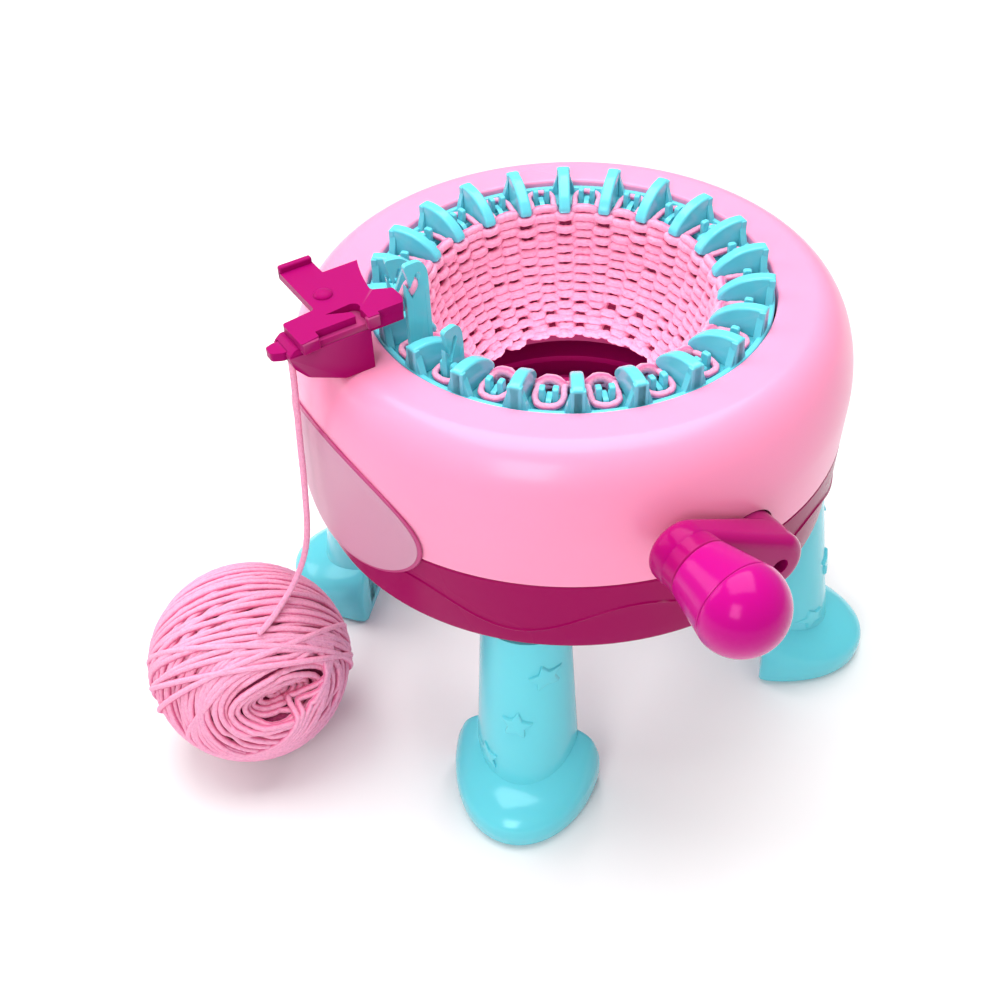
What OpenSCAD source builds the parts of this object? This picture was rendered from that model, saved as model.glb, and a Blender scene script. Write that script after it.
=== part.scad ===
// Hand-cranked circular knitting machine with 22 hook needles, on four legs.
// Millimetres, +Z up. The origin is on the knitting axis, on the floor that the legs stand on.
// The crank points along +X and the yarn feeder sits at -Y.

/* [Body] */
// Radius of the body at its shoulder
body_r = 110; // [109:0.5:111]
// Height of the shoulder, where the dome begins
shoulder_z = 148.5; // [147:0.5:150]
// Height of the flat top of the cover
top_z = 182; // [181:0.5:183]
// Outer radius of the flat top ring
flat_r = 91.5; // [90:0.5:93]
// Radius of the round opening in the cover
open_r = 78.2; // [78:0.1:78.6]
// Height of the seam between cover and base
seam_z = 128.5; // [128:0.5:129]
// Height of the underside of the base
base_z = 94; // [93.5:0.5:94.5]
// Wall thickness of the plastic shells
wall = 2.4; // [2:0.2:2.8]

/* [Needles and drum] */
// Number of needles, and of fins between them
needle_count = 22; // [20:2:24]
// Outer radius of the rotating crown
crown_r = 77.4; // [77:0.1:77.6]
// Height of the crown's deck
deck_z = 178; // [177.5:0.5:178]
// Height of the fins' outer corners
fin_top_z = 190; // [188:0.5:191]
// Thickness of a fin
fin_t = 4.8; // [4:0.2:5]
// Radius of the needles' outer edge
needle_r = 70.3; // [70:0.1:70.5]
// Length of a needle
needle_len = 60; // [59:0.5:60]
// Stroke of a needle
stroke = 36; // [30:1:36]

/* [Crank] */
// Height of the crank's axis
crank_z = 134.5; // [134:0.5:135]
// Length of the crank arm, axis to axis
arm_len = 40; // [38:1:44]
// Angle of the arm above the horizontal at rest
arm_angle = 27; // [0:1:45]
// Radius of the crank shaft
shaft_r = 4; // [3.5:0.1:4]
// Radius of the knob's dome
knob_r = 16.5; // [15:0.5:17]

/* [Legs] */
// Flat inner plane of the legs, from the knitting axis
leg_in = 91.5; // [91:0.5:92]
// Half width of a foot
foot_half_w = 30.4; // [28:0.2:31]
// Radial depth of a foot
foot_depth = 43; // [41:0.5:44]

/* [Feeder and yarn] */
// Height of the feeder plate's top face
feeder_top = 204; // [203.5:0.5:205]
// Diameter of the yarn
yarn_d = 2.4; // [2:0.1:2.6]
// Radius of the yarn ball
ball_r = 42; // [41.5:0.5:42]

/* [Hidden] */
$fn = 72;
eps = 0.02;
hull_fn = 32;
NEEDLES = [for (i = [1:needle_count]) str("needle_", i < 10 ? "0" : "", i)];

magenta = "#991c5a";
rose = "#fb9bca";
teal = "#76dce9";
hot_pink = "#e0289a";
yarn_pink = "#f5a5cd";

// Angles: fins stand at multiples of the pitch, needles midway between them.
pitch = 360 / needle_count;
leg_az = [-45, 45, 135, -135];
screw_az = [22.5, 112.5, 202.5, 292.5];
screw_r = 101;
cam_screw_az = [30, 120, 210, 300];
cam_screw_r = 88;
drum_screw_az = [for (k = [0, 4, 7, 11, 15, 18]) 360 / needle_count * k];
drum_screw_r = 65.5;

// Shells
dome_w = body_r - flat_r;
dome_h = top_z - shoulder_z;
lip_z = 173;
base_bottom_r = body_r - 1.7;
base_top_r = body_r - 0.7;
band_t = 1.3;
floor_t = 3;
floor_z = base_z + floor_t;
exit_r = 46;
rail_r = 85;

// Wave line on the base: mean height and two harmonics
wave_mean = 111.3;
wave_a4 = 1.5;
wave_a8 = -5.7;

// Gear train: face gear on the drum, pinion on the crank
gear_teeth = 88;
pinion_teeth = 16;
gear_r = 91;
pinion_r = gear_r * pinion_teeth / gear_teeth;
mesh_z = crank_z - pinion_r;
face_w = 9;
tooth_up = 2.0;
tooth_down = 2.6;
flange_top = mesh_z - tooth_down + 0.1;
flange_bottom = flange_top - 3.4;
flange_in = 71.5;
flange_out = gear_r + face_w / 2 + 0.5;

// Needle bed and crown
bed_in = 59.4;
bed_out = 71.2;
bed_bottom = 118;
bed_top = 171.8;
needle_in = 61;
needle_t = 2.0;
slot_w = 2.5;
slot_in = needle_in - 0.3;
fin_r = 76.7;
fin_tip_r = 55.6;
fin_tip_z = 180;
post_w = 2.2;
post_in = 66;
post_out = 69.4;
post_top = 184.4;
lip_in = 74.9;
foot_half = 5.5;
low_top = 180;

// Rest heights above the lowered position: needles near the feeder are raised by the cam.
needle_az = [for (i = [1:needle_count]) pitch * (i - 0.5)];
fin_az = [for (i = [1:needle_count]) pitch * i];
raised = [[-90, stroke], [-106.4, 27], [-122.7, 15.6], [-73.6, 18.6]];
function ang_gap(a, b) = abs((a - b + 540) % 360 - 180);
function lift(az) = max([for (p = raised) ang_gap(az, p[0]) < 3 ? p[1] : 0]);

// Cam ring around the needle butts, clear of them over their whole stroke
butt_r = 73.6;
cam_in = 74.1;
cam_out = 78.8;
cam_bottom = 119.5;
cam_top = 166;

// Crank and knob
pillar_x0 = 99.9;
pillar_x1 = 106;
bushing_r = 7.5;
shaft_gap = 0.05;
cross_pin_x = gear_r + 5.4;
hub_r = 11.5;
arm_x0 = 111.2;
arm_x1 = 124;
hub_x1 = 127.4;
knob_x0 = 126.2;
knob_seam_x = 139.5;
knob_c_x = 145.5;
collar_r = 12.3;
knob_y = -arm_len * cos(arm_angle);
knob_z = crank_z + arm_len * sin(arm_angle);
pin_r = 3.5;

// Feeder outline
block_x0 = -9;
block_x1 = 4;
plate_t = 3;
feeder_screw = [-2.5, -94];
nose_drop = 7.4;
nose_y = -71.6;
latch_z = 195.7;
yarn_exit = [-6, -113.6, 194];
wing_r = 79.3;

// Yarn: the ball rests on the floor, the strand hangs from the feeder's outer end and lies on the ball.
ball_c = [-17, -150, ball_r];
strand_pts = [
    yarn_exit, [-6, -113.7, 186], [-6, -114.2, 176], [-6, -115, 164], [-6, -115.8, 152],
    [-6, -116.5, 140], [-6.2, -117.3, 128], [-6.6, -118.2, 116], [-7.3, -119.4, 106],
    [-8.2, -121.2, 97.5], [-9, -123.6, 90.5], [-9, -126.6, 85.3], [-7.6, -130, 82.6],
    [-5.2, -133.6, 81.8], [-2.4, -137.4, 81.6], [0.4, -141.4, 81.3], [2.6, -145.6, 80.7], [4, -150, 79.8]];

// ---------- shared shapes ----------

// Quarter ellipse from the flat top down to the shoulder, moved inwards by a wall thickness
function dome(inset, n = 22) = [for (i = [0:n])
    [flat_r + (dome_w - inset) * sin(90 * i / n), shoulder_z + (dome_h - inset) * cos(90 * i / n)]];

module ring(r_out, r_in, z0, z1) {
    rotate_extrude() translate([r_in, z0]) square([r_out - r_in, z1 - z0]);
}

module at_each(angles, r = 0) {
    for (a = angles) rotate([0, 0, a]) translate([r, 0, 0]) children();
}

module x_cylinder(r, x0, x1) {
    translate([x0, 0, 0]) rotate([0, 90, 0]) cylinder(r = r, h = x1 - x0);
}

// Turns an (r, z) outline into a plate of thickness t that stands in a radial plane
module radial_plate(points, t) {
    rotate([90, 0, 0]) translate([0, 0, -t / 2]) linear_extrude(t) polygon(points);
}

// Screw with a cross slot: its head hangs below z = 0, its shank stands above it
module screw(shank_r, shank_l, head_r, head_h) {
    slot_depth = 0.8;
    translate([0, 0, -head_h / 2]) cylinder(r = shank_r, h = shank_l + head_h / 2);
    translate([0, 0, -head_h]) difference() {
        cylinder(r = head_r, h = head_h);
        for (a = [0, 90]) rotate([0, 0, a])
            translate([-head_r * 0.6, -0.4, -1]) cube([head_r * 1.2, 0.8, 1 + slot_depth]);
    }
}

// ---------- fixed parts ----------

module top_cover() {
    boss_top = 170;
    color(rose) difference() {
        union() {
            rotate_extrude() polygon(concat(
                [[open_r, top_z - 0.8], [open_r + 1.5, top_z]], dome(0),
                [[base_top_r, seam_z], [base_top_r - wall, seam_z]],
                [for (i = [22:-1:0]) dome(wall)[i]],
                [[open_r + wall, top_z - wall], [open_r + wall, lip_z], [open_r, lip_z]]));
            at_each(screw_az, screw_r) translate([0, 0, seam_z + 0.3])
                cylinder(r = 4.2, h = boss_top - seam_z);
            at_each(cam_screw_az, cam_screw_r)
                translate([0, 0, cam_top + 0.1]) cylinder(r = 4, h = top_z - wall - cam_top);
        }
        at_each(screw_az, screw_r) translate([0, 0, seam_z - 1]) cylinder(r = 1.5, h = 24);
        at_each(cam_screw_az, cam_screw_r) translate([0, 0, cam_top - 1]) cylinder(r = 1.4, h = 12);
        translate([0, 0, crank_z]) x_cylinder(hub_r + 0.7, pillar_x1 - 1, body_r + 5);
        translate([feeder_screw[0], feeder_screw[1], top_z - 12]) cylinder(r = 1.6, h = 20);
    }
}

// Height of the wave line at an angle around the body
function wave_z(a) = wave_mean + wave_a4 * cos(4 * a) + wave_a8 * cos(8 * a);

// Block that keeps what is above the wave line over one quarter of the body
module wave_quarter(az) {
    rotate([0, 0, az]) intersection() {
        rotate([90, 0, 90]) translate([0, 0, body_r / 2]) linear_extrude(body_r) polygon(concat(
            [for (a = [-48:2:48]) [base_top_r * sin(a), wave_z(az + a)]],
            [[body_r, seam_z + 5], [-body_r, seam_z + 5]]));
        rotate([0, 0, -45]) cube([2 * body_r, 2 * body_r, 2 * seam_z]);
    }
}

module base_tray() {
    color(magenta) difference() {
        union() {
            // outer wall and floor with its two steps, down to the fabric's exit
            rotate_extrude() polygon([
                [exit_r, base_z], [base_bottom_r - band_t, base_z], [base_top_r - band_t, seam_z],
                [base_top_r - band_t - wall, seam_z], [base_bottom_r - band_t - wall, floor_z],
                [rail_r + 2, floor_z], [rail_r + 2, flange_bottom - 0.3], [rail_r - 2, flange_bottom - 0.3],
                [rail_r - 2, floor_z + 5], [80, floor_z + 5], [79, floor_z + 2.5], [65, floor_z + 2.5],
                [64, floor_z], [exit_r + 3, floor_z], [exit_r + 3, floor_z + 4], [exit_r, floor_z + 4]]);
            // raised band above the wave line
            intersection() {
                ring(base_top_r, base_top_r - band_t - 0.5, base_z, seam_z);
                union() for (az = [0, 90, 180, 270]) wave_quarter(az);
            }
            at_each(screw_az, screw_r) translate([0, 0, base_z]) cylinder(r = 4.2, h = seam_z - base_z);
            // pillar that carries the crank's outer bushing
            translate([pillar_x0, -10, floor_z - 1])
                cube([pillar_x1 - pillar_x0, 20, crank_z + 11 - floor_z]);
        }
        at_each(screw_az, screw_r) {
            translate([0, 0, base_z - 1]) cylinder(r = 1.8, h = 40);
            translate([0, 0, base_z - 1]) cylinder(r = 3.6, h = 3.6);
        }
        at_each(leg_az, 100) translate([0, 0, base_z - 1]) cylinder(r = 1.8, h = 6);
        translate([0, 0, crank_z]) {
            x_cylinder(bushing_r, pillar_x0 - 5, pillar_x1 + 1);
            x_cylinder(hub_r + 0.7, pillar_x1, body_r + 5);
        }
    }
}

// D-shaped slab: flat towards the knitting axis, round outside
module d_slab(z, h, half_w, depth) {
    translate([leg_in, 0, z]) intersection() {
        scale([depth, half_w, 1]) cylinder(r = 1, h = h, $fn = hull_fn * 2);
        translate([0, -half_w, 0]) cube([depth, 2 * half_w, h]);
    }
}

module leg(az) {
    color(teal) rotate([0, 0, az]) difference() {
        union() {
            hull() {
                d_slab(base_z - 0.5, 0.4, 17.5, 16.2);
                d_slab(14, 0.4, 21.5, 26);
            }
            hull() {
                d_slab(0, 0.4, foot_half_w - 1.6, foot_depth - 1.6);
                d_slab(3, 0.4, foot_half_w - 0.3, foot_depth - 0.3);
                d_slab(10, 0.4, foot_half_w, foot_depth);
                d_slab(17, 0.4, foot_half_w - 0.6, foot_depth - 4);
                d_slab(24, 0.4, foot_half_w - 2, foot_depth - 13);
                d_slab(37, 0.4, foot_half_w - 8, foot_depth - 34);
            }
        }
        // hollow that is open towards the knitting axis
        translate([leg_in - 5, -13, -1]) cube([14, 26, base_z - 14]);
        translate([100, 0, base_z - 22]) cylinder(r = 1.4, h = 30);
    }
}

module leg_screws() {
    color("silver") at_each(leg_az, 100) translate([0, 0, floor_z + 0.1])
        mirror([0, 0, 1]) screw(1.35, 20, 3, 2);
}

module cover_screws() {
    color("silver") at_each(screw_az, screw_r) translate([0, 0, base_z + 2.55]) screw(1.45, 48, 3.1, 2.2);
}

module label_plate() {
    half_w = 50;
    half_h = 27;
    label_t = 1.3;
    color("#e1acc0") intersection() {
        rotate_extrude() polygon(concat(
            dome(-0.1 - label_t), [[body_r + 0.1 + label_t, base_z], [body_r + 0.1, base_z]],
            [for (i = [22:-1:0]) dome(-0.1)[i]]));
        translate([0, -50, 134]) rotate([90, 0, 0]) linear_extrude(80)
            polygon([for (i = [0:47]) [half_w * cos(7.5 * i), half_h * sin(7.5 * i)]]);
    }
}

// Fixed ring around the needle bed: two rails with ramps that meet below and above the feeder
module cam_ring() {
    rail_t = 2;
    ramp_from = 36;
    ramp_to = 16;
    low_z = 121;
    rise = 30;
    color(magenta) difference() {
        union() {
            ring(cam_out, cam_out - 2, cam_bottom, cam_top);
            ring(cam_screw_r + 5, cam_out - 1, cam_top - 3, cam_top);
            ring(cam_out - 1, cam_in, cam_bottom, cam_bottom + 1.5);
            ring(cam_out - 1, cam_in, cam_top - 1.5, cam_top);
            rotate([0, 0, -90 + ramp_from]) rotate_extrude(angle = 360 - 2 * ramp_from)
                translate([cam_in, low_z + 12]) square([cam_out - 1 - cam_in, rail_t]);
            for (s = [-1, 1]) for (k = [0:9]) let (u = k / 9)
                rotate([0, 0, -90 + s * (ramp_from + (ramp_to - ramp_from) * u)])
                    translate([cam_in + 0.4, -2, low_z + 12 + rise * (1 - cos(180 * u)) / 2])
                        cube([cam_out - 1 - cam_in, 4, rail_t]);
        }
        at_each(cam_screw_az, cam_screw_r) translate([0, 0, cam_top - 5]) cylinder(r = 1.6, h = 8);
        for (s = [-1, 1]) translate([70, s * 7, crank_z + 18]) rotate([0, 90, 0]) cylinder(r = 1.2, h = 12);
    }
}

module cam_screws() {
    color("silver") at_each(cam_screw_az, cam_screw_r) translate([0, 0, cam_top - 3.05])
        screw(1.35, 12, 2.8, 1.8);
}

// Bracket on the cam ring that carries the crank shaft's inner end
module shaft_bracket() {
    color("#b9a7d6") difference() {
        intersection() {
            translate([cam_out + 0.05 - 2, -11, crank_z - 8]) cube([7, 22, 31]);
            difference() {
                translate([0, 0, crank_z - 20]) cylinder(r = 200, h = 60);
                translate([0, 0, crank_z - 30]) cylinder(r = cam_out + 0.05, h = 80);
            }
        }
        translate([0, 0, crank_z]) x_cylinder(6, 70, 90);
        for (s = [-1, 1]) translate([70, s * 7, crank_z + 18]) rotate([0, 90, 0]) cylinder(r = 1.5, h = 20);
    }
}

module bracket_screws() {
    color("silver") for (s = [-1, 1]) translate([84, s * 7, crank_z + 18])
        rotate([0, -90, 0]) screw(1.15, 7.5, 2.5, 1.5);
}

module outer_bushing() {
    color("#e8c070") translate([0, 0, crank_z]) difference() {
        union() {
            x_cylinder(bushing_r - eps, pillar_x0 - 1.5, pillar_x1 - 0.1);
            x_cylinder(bushing_r + 2, pillar_x0 - 1.5, pillar_x0 - eps);
        }
        x_cylinder(shaft_r + shaft_gap, 90, 120);
    }
}

module inner_bushing() {
    color("#e8c070") translate([0, 0, crank_z]) difference() {
        x_cylinder(6 - eps, 79.6, 83.8);
        x_cylinder(shaft_r + shaft_gap, 70, 90);
    }
}

// ---------- yarn feeder ----------

module feeder_block() {
    color("#b0124f") difference() {
        translate([block_x0, 0, 0]) rotate([90, 0, 90]) linear_extrude(block_x1 - block_x0) polygon([
            [-86.5, top_z], [-91.5, top_z], [-98, top_z], [-112, 188.4], [-116.5, 193.8], [-117.6, 198.4],
            [-115, feeder_top - plate_t], [-86.5, feeder_top - plate_t]]);
        // pocket for the latch, and below it the channel that the yarn comes out of
        translate([-7.6, -130, latch_z - 0.2]) cube([8.2, 24, 4]);
        translate([yarn_exit[0], yarn_exit[1], top_z]) cylinder(r = 1.8, h = yarn_exit[2] - top_z);
        translate([feeder_screw[0], feeder_screw[1], top_z - 1]) cylinder(r = 1.6, h = 13);
    }
}

module feeder_plate() {
    wing_arc = [for (a = [-112:2:-98]) [wing_r * cos(a), wing_r * sin(a)]];
    nose = [[-9.5, -78], [-6.4, nose_y], [-0.2, nose_y], [3.4, -72.8], [3.4, -83]];
    slot = [[-3.4, -99], [-5.6, -90], [-3.6, -87.2], [0.4, -88.6], [6, -88.6], [6, -93.8], [-1, -93.8]];
    color("#cf2184") difference() {
        union() {
            translate([0, 0, feeder_top - plate_t]) linear_extrude(plate_t) polygon(concat(
                [[-40, -100.6], [-40, -87.5], [-29.8, -87.5]], wing_arc, nose,
                [[5.1, -83], [5.1, -89.3], [1.7, -89.3], [1.7, -106.3], [4.8, -106.3], [6.2, -113.6],
                 [-8.8, -113.6], [-10.4, -100.6]]));
            // deep nose that carries the yarn over the fins
            translate([0, 0, feeder_top - nose_drop]) linear_extrude(nose_drop) polygon(concat(
                [[3.4, -86.4], [-9.5, -86.4]], nose));
            // finger lip, button and the two front tabs
            translate([-40, -100.6, feeder_top - plate_t]) cube([2.6, 13.1, plate_t + 2.4]);
            translate([-16.5, -94, feeder_top - 1]) sphere(r = 3.6);
            translate([block_x1 + 0.1, -88.3, feeder_top - 5]) cube([0.9, 5.2, 4]);
            translate([block_x1 + 0.7, -113.2, feeder_top - 5]) cube([0.9, 6.6, 4]);
        }
        translate([0, 0, feeder_top - plate_t - 1]) linear_extrude(plate_t + 2) polygon(slot);
        translate([-3, -89.6, feeder_top - plate_t - 1]) cylinder(r = 2.6, h = plate_t + 2);
        // channel through the nose
        translate([-2, -60, feeder_top - 4.6]) rotate([90, 0, 0]) cylinder(r = 1.7, h = 31);
    }
}

module feeder_screws() {
    color("silver") translate([feeder_screw[0], feeder_screw[1], top_z - wall - 2.1]) screw(1.5, 14, 3, 1.8);
}

module feeder_latch() {
    color("#b0124f") translate([0, 0, latch_z]) linear_extrude(3.6)
        polygon([[-7.4, -107], [-7.4, -119], [-6.4, -122], [-1.5, -122], [0.4, -118.4], [0.4, -107]]);
}

// ---------- rotating drum ----------

module needle_slots(r1, z0, z1) {
    at_each(needle_az) translate([slot_in, -slot_w / 2, z0]) cube([r1 - slot_in, slot_w, z1 - z0]);
}

module needle_bed() {
    color(teal) difference() {
        union() {
            ring(bed_out, bed_in, bed_bottom, bed_top);
            ring(bed_out + 1.5, bed_in, bed_bottom, bed_bottom + 1.6);
        }
        needle_slots(bed_out + 5, bed_bottom - 1, bed_top + 1);
        at_each(drum_screw_az, drum_screw_r) translate([0, 0, bed_bottom - 1]) cylinder(r = 1.5, h = 10);
    }
}

// Deck of the crown: a stepped ring with an outer lip, slotted for the needles
module crown_ring() {
    color(teal) difference() {
        union() {
            ring(crown_r, bed_in + 0.2, bed_top + 0.1, deck_z - 2.6);
            ring(crown_r, post_in - 0.5, bed_top + 0.1, deck_z);
            ring(crown_r, lip_in, deck_z - 0.1, deck_z + 2.2);
        }
        needle_slots(70.9, bed_top - 1, deck_z + 10);
        at_each(fin_az) translate([lip_in - 5, -foot_half, deck_z]) cube([10, 2 * foot_half, 4]);
    }
}

// Fins that hold the fabric down, and the pairs of posts that the yarn is laid around
module crown_fins() {
    fin = [[62, deck_z + 0.1], [57.5, deck_z + 0.4], [fin_tip_r, fin_tip_z - 0.4], [56.2, fin_tip_z + 1.2],
           [58.5, fin_tip_z + 4], [62, fin_tip_z + 6.9], [66, fin_tip_z + 8.8], [70.5, fin_tip_z + 9.9],
           [74.5, fin_top_z], [fin_r, fin_top_z - 0.6], [fin_r, deck_z + eps]];
    gusset = [[-5.4, deck_z + eps], [5.4, deck_z + eps], [2.7, fin_top_z - 3.5], [2.7, fin_top_z - 0.6],
              [-2.7, fin_top_z - 0.6], [-2.7, fin_top_z - 3.5]];
    post_h = post_top - post_w / 2 - deck_z;
    color(teal) {
        at_each(fin_az) {
            radial_plate(fin, fin_t);
            translate([fin_r - 3.2, 0, 0]) rotate([90, 0, 90]) linear_extrude(3.2) polygon(gusset);
        }
        at_each(needle_az) for (s = [-1, 1]) translate([0, s * (slot_w + post_w) / 2, 0]) {
            translate([post_in, -post_w / 2, deck_z + eps]) cube([post_out - post_in, post_w, post_h]);
            translate([0, 0, post_top - post_w / 2]) x_cylinder(post_w / 2, post_in, post_out);
        }
    }
}

// Trapezoid tooth outline: half widths at the root and at the tip
module tooth(root_half, tip_half, h) {
    polygon([[-root_half, -0.2], [root_half, -0.2], [tip_half, h], [-tip_half, h]]);
}

module ring_gear() {
    color(magenta) {
        difference() {
            union() {
                ring(flange_out, flange_in, flange_bottom, flange_top);
                at_each([for (i = [0:gear_teeth - 1]) (i + 0.5) * 360 / gear_teeth], gear_r - face_w / 2)
                    translate([0, 0, flange_top]) rotate([90, 0, 90])
                        linear_extrude(face_w) tooth(1.95, 0.75, tooth_down + tooth_up - 0.5);
                ring(flange_in + 2.4, bed_in, flange_bottom, bed_bottom - 0.1);
            }
            at_each(drum_screw_az, drum_screw_r) translate([0, 0, flange_bottom - 1])
                cylinder(r = 1.5, h = 12);
        }
    }
}

module drum_screws() {
    color("silver") at_each(drum_screw_az, drum_screw_r)
        translate([0, 0, flange_bottom - 0.1]) screw(1.4, bed_bottom - flange_bottom + 8, 2.6, 1.4);
}

// Needle: flat blade, closed yarn pocket and a pointed jaw, with a butt for the cam near its foot
module needle(az) {
    top = low_top + lift(az);
    foot = top - needle_len;
    color(teal) rotate([0, 0, az]) difference() {
        union() {
            radial_plate([
                [needle_in + 0.9, foot], [needle_r, foot], [needle_r, foot + 4], [butt_r, foot + 4.6],
                [butt_r, foot + 8.4], [needle_r, foot + 9], [needle_r, top - 8.4], [67.5, top - 15],
                [65, top - 6.6], [66.1, top - 5.2], [67.9, top - 11.2], [needle_r, top - 0.6],
                [67.6, top - 0.1], [65, top], [62.9, top - 1.1],
                [61.4, top - 3.6], [needle_in, top - 8]], needle_t);
            // thicker back of the stem
            translate([needle_in, -needle_t / 2 - 0.15, foot + 2]) cube([2, needle_t + 0.3, needle_len - 11]);
        }
        // narrow cut that parts the jaw from the pocket
        radial_plate([[63.6, top - 4.6], [65.1, top - 4.2], [68.4, top - 14.4], [67.2, top - 15.6]], 6);
    }
}

module knit_tube() {
    inner = [[55.4, 176.6], [54.6, 168], [52.4, 158], [48.6, 147], [43, 137], [36.2, 129]];
    outer = [[38.6, 127.6], [46, 135.6], [51.8, 146], [55.6, 157.2], [57.8, 167.6], [58.7, 176.6]];
    color(yarn_pink) rotate_extrude() polygon(concat(inner, outer));
}

// ---------- crank ----------

module crank_shaft() {
    color("silver") translate([0, 0, crank_z]) difference() {
        x_cylinder(shaft_r, 79.7, 119);
        x_cylinder(1.25, 104, 120);
        translate([cross_pin_x, 0, -10]) cylinder(r = 1, h = 20);
    }
}

module pinion() {
    color("#f3f0ea") translate([0, 0, crank_z]) difference() {
        union() {
            x_cylinder(pinion_r - tooth_down, gear_r - face_w / 2, gear_r + face_w / 2);
            x_cylinder(8, gear_r - 6.5, gear_r + 7);
            for (i = [0:pinion_teeth - 1]) rotate([i * 360 / pinion_teeth, 0, 0])
                translate([gear_r - face_w / 2, 0, -(pinion_r - tooth_down)]) rotate([90, 0, 90])
                    linear_extrude(face_w) mirror([0, 1]) tooth(1.95, 0.7, tooth_down + tooth_up - 0.4);
        }
        x_cylinder(shaft_r + eps, 70, 110);
        translate([cross_pin_x, 0, -10]) cylinder(r = 1, h = 20);
    }
}

module pinion_pin() {
    color("silver") translate([cross_pin_x, 0, crank_z - 7.8]) cylinder(r = 1 - eps, h = 15.6);
}

module crank_arm() {
    edge = 2.5;
    screw_well_r = 3.3;
    color("#d83894") difference() {
        union() {
            // thicker at the hub than at the knob
            hull() for (p = [[0, crank_z, hub_x1], [knob_y, knob_z, arm_x1]]) translate([0, p[0], p[1]]) {
                x_cylinder(hub_r - edge, arm_x0, p[2], $fn = hull_fn);
                x_cylinder(hub_r, arm_x0 + edge, p[2] - edge, $fn = hull_fn);
            }
            translate([0, 0, crank_z]) x_cylinder(hub_r, pillar_x1 + 0.2, arm_x0 + 3);
            translate([0, knob_y, knob_z]) x_cylinder(collar_r - 0.4, arm_x1 - 4, knob_x0 - 0.2);
        }
        translate([0, 0, crank_z]) x_cylinder(shaft_r + eps, 100, 119);
        translate([0, 0, crank_z]) x_cylinder(1.6, 110, hub_x1 + 1);
        translate([0, 0, crank_z]) x_cylinder(screw_well_r, 121, hub_x1 + 1);
        translate([0, knob_y, knob_z]) x_cylinder(pin_r, 114, 130);
    }
}

module crank_screw() {
    color("silver") translate([121.05, 0, crank_z]) rotate([0, -90, 0]) screw(1.2, 14, 2.9, 1.6);
}

module knob_pin() {
    color("silver") translate([0, knob_y, knob_z]) {
        x_cylinder(pin_r - eps, 114.2, 143);
        x_cylinder(5.4, 140.2, 143);
    }
}

// Sleeve that flares from the collar towards the dome
module knob_grip() {
    bore = pin_r + shaft_gap;
    color(hot_pink) translate([0, knob_y, knob_z]) rotate([0, 90, 0]) rotate_extrude() polygon([
        [bore, knob_x0], [collar_r - 0.6, knob_x0], [collar_r, knob_x0 + 0.6], [13.1, 130.4], [14.2, 135],
        [15, knob_seam_x], [9, knob_seam_x], [9, 136], [bore, 136]]);
}

module knob_cap() {
    flare = [for (i = [0:3]) [15.05 + (knob_r - 15.05) * sin(30 * i), knob_seam_x + 0.1 + 2 * i]];
    dome_pts = [for (i = [0:15]) [knob_r * cos(6 * i), knob_c_x + knob_r * sin(6 * i)]];
    color(hot_pink) translate([0, knob_y, knob_z]) rotate([0, 90, 0]) rotate_extrude() polygon(concat(
        [[9, knob_seam_x + 0.1]], [for (p = flare) if (p[1] < knob_c_x - 0.5) p], dome_pts,
        [[0, 146], [9, 144]]));
}

// ---------- yarn ----------

// Tube swept along points: each ring stands square to the run of the strand
function unit(v) = v / norm(v);
function run_at(p, i) = unit(p[min(i + 1, len(p) - 1)] - p[max(i - 1, 0)]);
function side_of(d) = unit(cross(d, abs(d[0]) < 0.9 ? [1, 0, 0] : [0, 1, 0]));
function catmull(a, b, c, d, t) = 0.5 * (2 * b + (c - a) * t + (2 * a - 5 * b + 4 * c - d) * t * t
    + (3 * b - a - 3 * c + d) * t * t * t);
function smooth(p, n) = concat([for (i = [0:len(p) - 2]) for (k = [0:n - 1])
    catmull(p[max(i - 1, 0)], p[i], p[i + 1], p[min(i + 2, len(p) - 1)], k / n)], [p[len(p) - 1]]);

module tube(p, r, sides = 8) {
    n = len(p);
    rings = [for (i = [0:n - 1]) let (d = run_at(p, i), u = side_of(d), v = cross(d, u))
        for (k = [0:sides - 1]) p[i] + r * (cos(360 * k / sides) * u + sin(360 * k / sides) * v)];
    walls = [for (i = [0:n - 2]) for (k = [0:sides - 1]) let (m = (k + 1) % sides)
        [i * sides + k, i * sides + m, (i + 1) * sides + m, (i + 1) * sides + k]];
    polyhedron(rings, concat([[for (k = [sides - 1:-1:0]) k]],
        walls, [[for (k = [0:sides - 1]) (n - 1) * sides + k]]));
}

module yarn_strand() {
    color(yarn_pink) tube(smooth(strand_pts, 2), yarn_d / 2);
}

module yarn_ball() {
    color(yarn_pink) translate(ball_c) sphere(r = ball_r);
}

top_cover();
base_tray();
leg(leg_az[0]);  // leg_front
leg(leg_az[1]);  // leg_right
leg(leg_az[2]);  // leg_back
leg(leg_az[3]);  // leg_left
leg_screws();
cover_screws();
label_plate();
cam_ring();
cam_screws();
shaft_bracket();
bracket_screws();
outer_bushing();
inner_bushing();
feeder_block();
feeder_plate();
feeder_screws();
feeder_latch();
needle_bed();
crown_ring();
crown_fins();
ring_gear();
drum_screws();
knit_tube();
crank_shaft();
pinion();
pinion_pin();
crank_arm();
crank_screw();
knob_pin();
knob_grip();
knob_cap();
yarn_strand();
yarn_ball();
for (i = [0:needle_count - 1]) needle(needle_az[i]);
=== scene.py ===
import math

import bmesh
import bpy
import numpy as np
from mathutils import Matrix, Vector


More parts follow.
